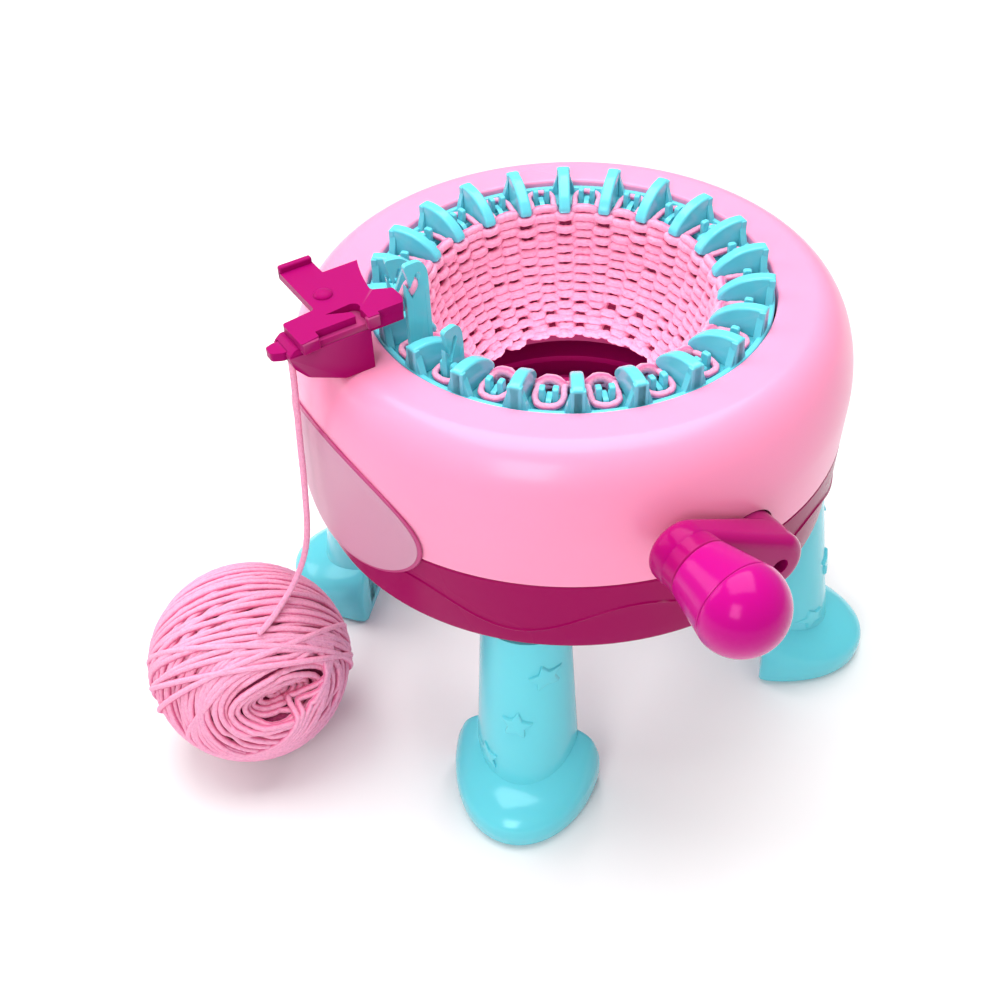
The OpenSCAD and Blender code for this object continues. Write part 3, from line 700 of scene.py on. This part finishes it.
# for the foot's bulge: height at the toe, half width, depth, and how much higher the level runs at the back
FOOT = [(0, 27.6, 40.2, 0), (1.2, 29.2, 41.8, 0), (4, 30.1, 42.7, 0), (9, 30.4, 43.0, 0.2), (12, 30.3, 42.0, 0.9),
        (14.5, 29.6, 39.2, 2.2), (16.5, 28.4, 35.6, 4), (18, 26.8, 31.8, 6), (19.2, 24.2, 28, 7.4),
        (20.6, 19.4, 22.8, 8.8)]


def leg(name, az):
    zs = np.linspace(4, BASE_Z - 0.25, 22)
    sections = [d_section(*column_size(z)) for z in zs]
    column = loft("column", sections, list(zs), az, TEAL)
    levels = np.concatenate([np.linspace(0, 4, 6), np.linspace(5.5, 20.6, 24)])
    foot_sections = [d_section(spline(FOOT, z, 1), spline(FOOT, z, 2)) for z in levels]
    heights = [[z + spline(FOOT, z, 3) * (1 - min(d / 28, 1)) for d, _ in section]
               for z, section in zip(levels, foot_sections)]
    foot = loft("foot", foot_sections, heights, az, TEAL)
    stars = [star(az, 10.3, 76.6, 6.4, 12), star(az, -0.2, 52.9, 6.9, -6), star(az, -13, 29, 5.6, 14)]
    finish_piece(join(name + "_moulded", [column, foot, *stars]), "chassis", [name])


# ---------- crown, needles ----------

def crown():
    deck = [(59.6, 171.9), (59.6, 175), (60, 175.4), (65.5, 175.4), (65.5, 177.6), (65.9, DECK_Z), (74.5, DECK_Z),
            (74.9, DECK_Z + 0.3), (75.0, DECK_Z + 1.9), (75.4, DECK_Z + 2.2), (76.9, DECK_Z + 2.2),
            (CROWN_R, DECK_Z + 1.7), (CROWN_R, 171.9)]
    ring = lathe("crown_deck", deck, TEAL, steps=264, sharp=50)
    finish_piece(ring, "drum", ["crown_ring"])
    fin = rounded([
        (62, DECK_Z - 0.3), (57.5, DECK_Z + 0.2), (55.6, 179.4), (55.9, 181.2), (58.3, 184.2), (62, 187),
        (66, 188.9), (70.5, 189.9), (74.4, 190), (FIN_R, 189.6), (FIN_R, DECK_Z - 0.3)],
        [0.3, 0.8, 0.8, 1.2, 2, 2, 2, 2, 1.2, 1.6, 0], 4)
    post = rounded([(66, DECK_Z - 0.3), (66, 184.4), (69.4, 184.4), (69.4, DECK_Z - 0.3)], [0, 1.1, 1.1, 0], 5)
    bar_r, bar_z, half_fin, half_bar, half_post, post_gap = FIN_R - 2.6, 189.3, 2.4, 2.75, 1.1, 2.35
    bar = [(bar_r, DECK_Z - 0.3), (bar_r, bar_z), (FIN_R, bar_z), (FIN_R, DECK_Z - 0.3)]
    fins, posts = [], []
    for i in range(NEEDLES):
        az = PITCH * (i + 1)
        fins.append(prism("fin", fin, TEAL, radial(az), -half_fin, half_fin, 1.3, 4))
        fins.append(prism("bar", bar, TEAL, radial(az), -half_bar, half_bar, 0.5, 2))
        for side in (-1, 1):
            wedge = [(side * 2.3, DECK_Z - 0.3), (side * 5.4, DECK_Z - 0.3), (side * 2.6, 187)]
            fins.append(prism("gusset", wedge, TEAL, lambda t, z, r, place=radial(az): place(r, z, t),
                              FIN_R - 3.2, FIN_R - 0.4, 0.3, 2))
            middle = side * post_gap
            posts.append(prism("post", post, TEAL, radial(NEEDLE_AZ[i]), middle - half_post, middle + half_post,
                               0.55, 3))
    finish_piece(join("crown_fins_set", fins), "drum", ["crown_fins"])
    finish_piece(join("crown_posts", posts), "drum")


def needle(i):
    name = f"needle_{i + 1:02d}"
    lo, hi = box_mm(name)
    top, foot = hi[2], lo[2]
    half_blade, half_ridge = 1.0, 1.15
    # the butt near the foot, then up the outer side to the hook, over its tip and down the inner side
    outline = rounded([
        (61.9, foot), (70.3, foot), (70.3, foot + 4), (73.6, foot + 4.6), (73.6, foot + 8.4), (70.3, foot + 9),
        (70.3, top - 7.6), (67.7, top - 14.6), (64.9, top - 7.4), (63.9, top - 5.4), (64.9, top - 3.9),
        (66.2, top - 4.6), (67.9, top - 11), (70.4, top - 1.2), (69.6, top - 0.2), (65, top), (62.6, top - 1.4),
        (61.2, top - 4.4), (61, top - 9), (61, foot + 2)],
        [0.5, 0.4, 0.6, 0.5, 0.5, 0.6, 1, 0.9, 1, 0.9, 0.6, 0.5, 0.5, 0.8, 0.6, 2.2, 2, 2, 1, 0.5], 3)
    az = NEEDLE_AZ[i]
    blade = prism(name, outline, TEAL, radial(az), -half_blade, half_blade, 0.32, 2)
    ridge = prism("ridge", rounded([(61, foot + 2), (62.8, foot + 2), (62.8, top - 12), (61, top - 9)], 0.6, 2),
                  TEAL, radial(az), -half_ridge, half_ridge, 0.35, 2)
    finish_piece(join(name + "_blade", [blade, ridge]), name, [name])


# ---------- feeder ----------

FEEDER_TOP = 204.0
PLATE_T = 3.0


def feeder():
    lower = rounded([(-86.5, TOP_Z), (-98, TOP_Z), (-112, 188.4), (-116.5, 193.8), (-117.6, 198.4),
                     (-86.5, 198.4)], [0.3, 0.8, 1.2, 1.2, 0.3, 0.3], 4)
    upper = rounded([(-86.5, 198), (-117.2, 198), (-117.4, 198.9), (-115, 201), (-86.5, 201)],
                    [0.3, 0.3, 0.6, 0.6, 0.3], 3)
    block = prism("feeder_body", lower, FEEDER, upright, -9, 4, 0.45, 3)
    collar = prism("feeder_collar", upper, FEEDER, upright, -8.75, 3.6, 0.4, 3)
    pocket = [(-7.6, -106), (-7.6, -124), (0.6, -124), (0.6, -106)]
    halves = [cut(part, prism("pocket", pocket, FEEDER, flat, 195.5, 199.5, 0)) for part in (block, collar)]
    finish_piece(join("feeder_block_moulded", halves), "chassis", ["feeder_block"])

    # the plate's outline, each corner with its radius: arm, curved wing, nose, teardrop slot and front edge
    corners = [((-10.2, -100.6), 1.5), ((-40, -100.6), 1.2), ((-40, -87.5), 1.2), ((-29.7, -87.5), 0.4)]
    corners += [(p, 0) for p in arc(0, 0, 79.3, 79.3, -112, -97.8, 14)]
    corners += [((-9.5, -78), 0.3), ((-6.4, -71.6), 0.8), ((-0.2, -71.6), 0.8), ((3.4, -72.8), 0.8),
                ((3.4, -83), 0.4), ((5, -83), 0.4), ((5, -87.4), 0.3), ((0.6, -87.2), 0.6)]
    corners += [(p, 0) for p in arc(-3.4, -89.2, 2.7, 2.7, 40, 200, 12)]
    corners += [((-5.2, -98.8), 0.3), ((-1.4, -90.6), 0.5), ((1.7, -90.6), 0.4), ((1.7, -106.3), 0.4),
                ((4.8, -106.3), 0.4), ((6.2, -113.6), 1.4), ((-8.8, -113.6), 1.4)]
    outline = rounded([p for p, _ in corners], [r for _, r in corners], 4)
    plate_z = FEEDER_TOP - PLATE_T
    plate = prism("feeder_top", outline, FEEDER, flat, plate_z, FEEDER_TOP, 0.4, 3)
    nose_outline = rounded([(3.2, -86.4), (-9.3, -86.4), (-9.3, -78), (-6.3, -71.8), (-0.2, -71.8), (3.2, -72.9)],
                           [0.2, 0.2, 0.4, 0.8, 0.8, 0.8], 4)
    nose = prism("nose", nose_outline, FEEDER, flat, FEEDER_TOP - 7.4, FEEDER_TOP - 0.8, 0.5, 3)
    lip = prism("lip", [(-40, -100.6), (-37.4, -100.6), (-37.4, -87.5), (-40, -87.5)], FEEDER, flat,
                plate_z, FEEDER_TOP + 2.4, 0.9, 4)
    under = prism("under", [(-37.8, -99.6), (-11, -99.6), (-11, -88.5), (-37.8, -88.5)], FEEDER, flat,
                  plate_z - 1.1, plate_z + 0.5, 0.4, 2)
    tabs = [prism("tab", corners, FEEDER, flat, FEEDER_TOP - 4.6, FEEDER_TOP - 0.25, 0.55, 3) for corners in (
        [(3.2, -88.2), (5.7, -88.2), (5.7, -83.2), (3.2, -83.2)],
        [(3.4, -113.2), (6.5, -113.2), (6.0, -106.6), (3.4, -106.6)])]
    dome = [(0, FEEDER_TOP + 1.7)] + [(3.5 * math.sin(a), FEEDER_TOP + 0.1 + 1.6 * math.cos(a))
                                      for a in np.linspace(0.15, math.pi / 2, 12)]
    dome += [(3.7, FEEDER_TOP), (4.4, FEEDER_TOP - 0.15), (4.4, FEEDER_TOP - 0.6), (0, FEEDER_TOP - 0.6)]
    button = lathe("button", dome, FEEDER, 64)
    for v in button.data.vertices:
        v.co += Vector((-16.5, -94, 0)) * MM
    nose = bore(nose, 1.7, 40, (-2, -72, 199.4), ALONG_Y, 40)
    top = join("feeder_plate_moulded", [plate, nose, lip, under, *tabs, button])
    finish_piece(top, "chassis", ["feeder_plate"])

    tongue = rounded([(-7.2, -107), (-7.2, -119), (-6.2, -122), (-1.7, -122), (0.2, -118.4), (0.2, -107)],
                     [0.3, 0.8, 1, 1, 0.8, 0.3], 4)
    finish_piece(prism("feeder_latch_tongue", tongue, FEEDER, flat, 195.8, 199.2, 0.5, 3), "latch",
                 ["feeder_latch"])


# ---------- crank ----------

def crank():
    knob_y, knob_z = KNOB[1], KNOB[2]
    tilt = math.degrees(math.atan2(knob_z - CRANK_Z, knob_y))
    hub_r, end_r, thicker = 11.5, 11.9, 4.4
    outline = arc(0, CRANK_Z, hub_r, hub_r, tilt - 270, tilt - 90, 40)
    outline += arc(knob_y, knob_z, end_r, end_r, tilt - 90, tilt + 90, 40)
    arm = prism("arm", outline, CRANK, upright, 110.8, 123.2, 4.4, 7)
    hub = x_lathe("hub", [(106.2, 0), (106.2, 11), (106.7, 11.5), (116, 11.5), (116, 0)], (0, CRANK_Z), CRANK)
    collar = x_lathe("collar", [(116, 0), (116, 11.6), (121, 11.7), (124, 11.9), (125.6, 12.0), (126.0, 11.6),
                                (126.0, 0)], (knob_y, knob_z), CRANK)
    reach = math.hypot(knob_y, knob_z - CRANK_Z)
    # the outer face stands further out at the hub than at the knob
    for v in arm.data.vertices:
        along = (v.co.y / MM * knob_y + (v.co.z / MM - CRANK_Z) * (knob_z - CRANK_Z)) / reach ** 2
        if v.co.x > 116 * MM:
            v.co.x += thicker * (1 - min(max(along, 0), 1)) * MM
    arm = bore(arm, 3.3, 14, (128, 0, CRANK_Z), ALONG_X, 48)
    finish_piece(join("crank_arm_moulded", [arm, hub, collar]), "crank", ["crank_arm"])
    grip = [(126.2, 3.6), (126.2, 11.7), (126.5, 12.2), (127, 12.4), (129, 12.8), (132, 13.5), (135, 14.2),
            (138, 14.9), (141, 15.6), (142.9, 16.0), (143.2, 15.85), (143.35, 15.5), (143.35, 3.6)]
    finish_piece(x_lathe("knob_sleeve", grip, (knob_y, knob_z), KNOB_PINK), "knob", ["knob_grip"])
    dome = [(143.45, 0), (143.45, 15.6), (143.6, 16.05), (143.95, 16.25), (144.6, 16.42)]
    cap_x, cap_r = 145.5, 16.5
    dome += [(cap_x + cap_r * math.sin(a), cap_r * math.cos(a)) for a in np.linspace(0, math.pi / 2 - 0.04, 26)]
    dome += [(162, 0)]
    finish_piece(x_lathe("knob_dome", dome, (knob_y, knob_z), KNOB_PINK), "knob", ["knob_cap"])


# ---------- knitting ----------

FABRIC = [(58.6, 179.6), (57.5, 176.8), (56.6, 172.4), (55.6, 166.4), (53.6, 157.8), (49.8, 147), (44.3, 137),
          (38.6, 129.6)]
COURSES = 14
KNIT_R = 1.85


class Profile:
    """The hanging fabric's middle line: place and normal at a distance down from the needles."""

    def __init__(self):
        fine = smooth_path([(r, 0, z) for r, z in FABRIC], 16)[:, [0, 2]]
        self.s = np.concatenate([[0], np.cumsum(np.linalg.norm(np.diff(fine, axis=0), axis=1))])
        self.rz = fine
        d = np.gradient(fine, axis=0)
        d /= np.linalg.norm(d, axis=1)[:, None]
        self.normal = np.stack([d[:, 1], -d[:, 0]], -1)
        self.down = d
        self.length = self.s[-1]

    def at(self, s):
        """(r, z) and the normal at s; past either end the line runs on straight."""
        over = np.minimum(s, 0)[..., None] + np.maximum(s - self.length, 0)[..., None]
        pick = lambda a: np.stack([np.interp(s, self.s, a[:, k]) for k in (0, 1)], -1)
        return pick(self.rz) + over * pick(self.down), pick(self.normal)


def knitting():
    """Stitch rows on the hanging profile: each row is a wave of loops, arcs inwards and legs outwards."""
    profile = Profile()
    rise = profile.length / (COURSES - 0.1)
    t = np.linspace(0, NEEDLES, NEEDLES * 24, endpoint=False)
    phase = 2 * math.pi * t
    arcs = np.sin(math.pi / 2 * np.cos(phase))
    paths, refs = [], []

    def uneven(size):
        values = rng.normal(0, size, 2 * NEEDLES)
        return np.interp(2 * t, np.arange(2 * NEEDLES + 1), np.append(values, values[0]))

    for row in range(COURSES):
        high = rise * min(0.45 + 0.2 * row, 0.93, 0.2 + 0.24 * (COURSES - 1 - row))
        s = rise * (row + 0.45) - high * (arcs if row else np.cos(phase)) + uneven(0.4)
        depth = 1.15 * np.cos(2 * phase) + uneven(0.28)
        angle = np.radians(NEEDLE_AZ[0] + 360 / NEEDLES * (t + 0.08 * np.sin(2 * phase) + uneven(0.02)))
        rz, normal = profile.at(s)
        inward = np.where(normal[:, 0] > 0, -1, 1)
        r = rz[:, 0] + depth * inward * normal[:, 0]
        z = rz[:, 1] + depth * inward * normal[:, 1]
        row_path = np.stack([r * np.cos(angle), r * np.sin(angle), z], -1)
        row_ref = np.stack([normal[:, 0] * np.cos(angle), normal[:, 0] * np.sin(angle), normal[:, 1]], -1)
        paths.append(np.vstack([row_path, row_path[:2]]))
        refs.append(np.vstack([row_ref, row_ref[:2]]))
    body = strands("knit_stitches", paths, refs, YARN, radius=KNIT_R, sides=10, lumps=0.12)

    # the newest course: out between post and fin, round each pair of posts and back
    lies_z = DECK_Z + 1.6
    half = [(6.4, 59.0, 176.8), (4.8, 60.6, 178.8), (4.7, 63.5, 179.5), (5.0, 67.4, lies_z), (4.4, 70.6, lies_z),
            (2.6, 72.4, lies_z)]
    loop = [(-8.3, 58.0, 175.4)] + [(-u, r, z) for u, r, z in half] + [(0, 72.9, lies_z)] + half[::-1]
    ring = []
    for i in range(NEEDLES):
        a0 = math.radians(NEEDLE_AZ[i])
        nudge = rng.normal(0, 0.1, (len(loop), 3))
        nudge[0] *= 0.3
        for (u, r, z), (du, dr, dz) in zip(loop, nudge):
            a = a0 + (u + du) / r
            ring.append(((r + dr * 0.6) * math.cos(a), (r + dr * 0.6) * math.sin(a), z + abs(dz) * 0.6))
    ring = smooth_path(ring + ring[:1], 6)
    posts = strands("knit_post_loops", [ring], [(0, 0, 1)], YARN, radius=1.22, sides=12, lumps=0.08)

    # a thin dark web between the stitches' front and back closes the view between them: painted shade in the gaps
    # between stitches
    rows, steps = 40, 176
    web_s = np.linspace(0.3 * rise, profile.length - 0.4 * rise, rows)
    web_rz, _ = profile.at(web_s)
    verts = [((r + 0.6) * math.cos(a), (r + 0.6) * math.sin(a), z) for r, z in web_rz for a in around(steps)]
    web = build("knit_shade_web", verts, quads(rows, steps), SHADE_YARN, 60)
    layer = web.data.uv_layers.new(name="strand")
    for corner in web.data.loops:
        co = web.data.vertices[corner.vertex_index].co / MM
        layer.data[corner.index].uv = (math.atan2(co.y, co.x) * 20, co.z / 3)
    finish_piece(web, "drum", ["knit_tube"])
    finish_piece(body, "drum")
    finish_piece(posts, "drum")


def yarn_ball():
    """A wound ball: each turn lies on whatever is already under it, and the last ones run over its top."""
    centre = (BALL_LO + BALL_HI) / 2
    size = (BALL_HI[0] - BALL_LO[0]) / 2 + 0.6
    eye = np.array(bpy.context.scene.camera.matrix_world.translation) / MM - centre
    eye /= np.linalg.norm(eye)
    right = np.cross((0, 0, 1), eye)
    right /= np.linalg.norm(right)
    up = np.cross(eye, right)
    axis = 0.84 * eye + 0.25 * right - 0.49 * up
    axis /= np.linalg.norm(axis)
    e1 = right - axis * (right @ axis)
    e1 /= np.linalg.norm(e1)
    e2 = np.cross(axis, e1)
    yarn, core, pit_depth, samples = 1.32, size - 5.6, 13, 16000

    def oval(wide, tall, q):
        """How far from the middle, in radians, an oval about the pit reaches toward the angle q."""
        return math.radians(1) / np.sqrt((np.cos(q) / wide) ** 2 + (np.sin(q) / tall) ** 2)

    def pit(ahead, across, over):
        """How far the pit, which is wider than tall, reaches down in a direction, in mm."""
        away = math.acos(max(-1, min(1, ahead)))
        return pit_depth * max(0, 1 - away / oval(33, 16, math.atan2(over, across))) ** 0.65

    # the height of the wound surface over directions spread evenly round the ball
    k = np.arange(samples) + 0.5
    polar, turn = np.arccos(1 - 2 * k / samples), math.pi * (1 + 5 ** 0.5) * k
    grid = np.stack([np.cos(turn) * np.sin(polar), np.sin(turn) * np.sin(polar), np.cos(polar)], -1)
    height = np.array([core - pit(g @ axis, g @ e1, g @ e2) for g in grid])
    random = np.random.default_rng(11)
    q = around(120)

    def ring(pole, side, wide, tall, shift=(0, 0), twist=0):
        """One turn: an oval about a pole, a little uneven."""
        lift = np.cross(pole, side)
        reach = oval(wide, tall, q - math.radians(twist)) + 0.012 * np.sin(2 * q + random.uniform(0, 6))
        reach += 0.012 * np.sin(3 * q + random.uniform(0, 6)) + math.radians(1) * (
            shift[0] * np.cos(q) + shift[1] * np.sin(q))
        reach = np.maximum(reach, 0.04)
        flat_part = np.cos(q)[:, None] * side + np.sin(q)[:, None] * lift
        return np.cos(reach)[:, None] * pole + np.sin(reach)[:, None] * flat_part

    def crossing(front, pole_at, roll=0):
        """One turn over the ball: it passes the view's middle line at one height, about a pole at another."""
        c, s = cos_sin(roll)
        left_right, rise = c * right + s * up, c * up - s * right
        c, s = cos_sin(pole_at)
        return ring(c * eye + s * rise, left_right, pole_at - front, pole_at - front)

    # each turn's directions, and how far under the ball's surface it has to stay
    turns = [(ring(*pole, w, w), 3.4) for pole, clear in (((e1, e2), 38), ((e2, axis), 22))
             for w in np.arange(30, 152, 4) if abs(w - 90) > clear]
    turns += [(ring(-axis, e2, w, w * 0.94, random.normal(0, 1.5, 2)), 2.2) for w in np.arange(10, 96, 4.4)]
    # round the pit, from its lining outwards
    for n, wide in enumerate((9, 14, 19, 23, 26)):
        shift = random.normal(0, 0.5, 2) - (0, 0.5 * n)
        turns.append((ring(axis, e1, wide, 3 + 2.5 * n, shift, random.normal(0, 2)), 12 - 2.2 * n))
    for n in range(20):
        shift = random.normal(0, 1.5, 2)
        turns.append((ring(axis, e1, 29 + 3.6 * n, 14 + 4.3 * n, shift, random.normal(0, min(5, 1 + n))), 1.7))
    for n in range(6):
        # these run up from the lower left and bend over the pit
        turns.append((ring(axis, e1, 56 - 3 * n, 20 + 3.2 * n, (-16 + n, 3), 24 + 3 * n), 0.9))
    # and over the ball's top, nearly side by side
    order = np.arange(20)
    for swap in random.integers(0, 18, 5):
        order[[swap, swap + 1]] = order[[swap + 1, swap]]
    for n in order:
        front = 5 + 4.5 * n + random.normal(0, 0.7)
        turns.append((crossing(front, 101 + 0.5 * front + random.normal(0, 1.5), random.normal(-4, 3)), 0.5))
    turns += [(crossing(2, 96, 9), 0), (crossing(9, 100, -15), 0), (crossing(-3, 93, -6), 0)]
    paths, refs = [], []
    for d, buried in turns:
        gap = np.arccos(np.clip(grid @ d.T, -1, 1)) * (size - 3)
        under = np.maximum(np.where(gap < 1.5, height[:, None], 0).max(0), core - pit_depth)
        raised = np.maximum.reduce([np.roll(under, j) for j in (-1, 0, 1)])
        for _ in range(3):
            raised = (np.roll(raised, 1) + raised + np.roll(raised, -1)) / 3
        radius = np.minimum(raised + yarn * 0.6, size - yarn - buried)
        lies = np.where(gap < yarn, radius[None, :] + np.sqrt(np.maximum(yarn ** 2 - gap ** 2, 0)), 0).max(1)
        height = np.maximum(height, lies)
        loop = d * radius[:, None]
        paths.append(np.vstack([loop, loop[:2]]) + centre)
        refs.append(np.vstack([d, d[:2]]))
    for p in paths:
        # the ball's own weight flattens it a little where it rests
        p[:, 2] = np.maximum(np.where(p[:, 2] < 3.5, 3.5 + (p[:, 2] - 3.5) * 0.45, p[:, 2]), yarn + 0.15)
    ball = strands("yarn_ball_wound", paths, refs, YARN, radius=yarn, sides=8, lumps=0.08)
    # a dark core under the turns, which paints the shade in the gaps between strands and down the pit
    verts, steps, rows = [], 64, 60
    for a in np.linspace(0, 180, rows):
        along, out = cos_sin(a)
        for b in around(steps):
            across, over = out * math.cos(b), out * math.sin(b)
            r = core + 0.4 - pit(along, across, over)
            verts.append(centre + r * (along * axis + across * e1 + over * e2))
    heart = build("yarn_ball_shaded_heart", verts, quads(rows, steps), SHADE_YARN, 80)
    heart.data.uv_layers.new(name="strand")
    finish_piece(ball, "chassis", ["yarn_ball"])
    finish_piece(heart, "chassis")


def working_yarn():
    """The yarn's last stretch: out of the feeder's nose and into the raised needle's hook."""
    top = box_mm("needle_17")[1][2]
    route = [(-2.4, -71.8, 199.6), (-2.5, -70.9, 201.4), (-2.5, -69.6, top - 12), (-2.2, -67.9, top - 9.4),
             (-1.2, -66.7, top - 8), (0.1, -66.3, top - 7.6), (1.0, -66.6, top - 8.4), (0.9, -67.2, top - 10),
             (-0.4, -67.3, top - 12), (-1.9, -66.9, top - 14.4), (-2.7, -66.5, top - 18), (-2.8, -66.2, top - 22),
             (-2.8, -65.6, top - 26), (-2.9, -64.8, top - 30), (-3.2, -63.8, top - 33.6),
             (-3.8, -62.8, top - 36.2)]
    path = smooth_path(route, 8)
    yarn = strands("working_yarn_end", [path], [(1, 0, 0.2)], CORD, radius=1.15, sides=12)
    finish_piece(yarn, "drum")


# ---------- the CAD nodes that stay, the stage and the light ----------

KEPT = {
    "ring_gear": MAGENTA, "pinion": WHITE, "cam_ring": MAGENTA, "shaft_bracket": LILAC, "needle_bed": TEAL,
    "outer_bushing": BRASS, "inner_bushing": BRASS, "crank_shaft": STEEL, "pinion_pin": STEEL,
    "crank_screw": STEEL, "knob_pin": STEEL, "leg_screws": STEEL, "cover_screws": STEEL, "cam_screws": STEEL,
    "bracket_screws": STEEL, "feeder_screws": STEEL, "drum_screws": STEEL}


def kept_nodes():
    for node, material in KEPT.items():
        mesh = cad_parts[node].data
        mesh.materials.clear()
        mesh.materials.append(material)


def stage():
    bpy.ops.mesh.primitive_plane_add(size=8)
    floor = bpy.context.object
    floor.name = "floor"
    m = Nodes("floor_paper")
    tone = ramp(m, noise(m, 3, 3), "Fac", [(0.3, (0.84, 0.84, 0.84, 1)), (0.7, (0.87, 0.87, 0.87, 1))])
    m.link(tone, "Color", m.bsdf, "Base Color")
    m.set(Roughness=0.7)
    floor.data.materials.append(m.mat)


def area_light(name, place, aim, size, power):
    data = bpy.data.lights.new(name, "AREA")
    data.shape = "RECTANGLE"
    data.size, data.size_y = size
    data.energy = power
    lamp = put_in(name, data)
    lamp.location = place
    lamp.rotation_euler = (Vector(aim) - Vector(place)).to_track_quat("-Z", "Y").to_euler()


def light():
    scene = bpy.context.scene
    world = bpy.data.worlds.new("studio")
    world.use_nodes = True
    world.node_tree.nodes["Background"].inputs["Color"].default_value = (1, 1, 1, 1)
    world.node_tree.nodes["Background"].inputs["Strength"].default_value = 0.42
    scene.world = world
    scene.view_settings.view_transform = "Standard"
    aim = (0, 0, 0.12)
    area_light("overhead", (-0.2, 0.1, 1.3), aim, (1.2, 1.2), 22)
    area_light("window", (0.75, -0.95, 0.95), aim, (0.5, 0.7), 8)
    area_light("left_fill", (-0.9, -0.7, 0.8), aim, (0.7, 0.7), 4)
    # a small lamp inside the base, which shows through the knitting's opening
    lamp = bpy.data.lights.new("well", "POINT")
    lamp.energy = 0.11
    lamp.shadow_soft_size = 0.015
    well = put_in("well", lamp)
    well.location = (0, 0, 0.112)
    well.visible_camera = False


camera()
yarn_strand()
working_yarn()
top_cover()
base_tray()
label_plate()
for leg_name, leg_az in (("leg_front", -45), ("leg_right", 45), ("leg_back", 135), ("leg_left", -135)):
    leg(leg_name, leg_az)
crown()
for index in range(NEEDLES):
    needle(index)
feeder()
crank()
knitting()
yarn_ball()
kept_nodes()
stage()
light()
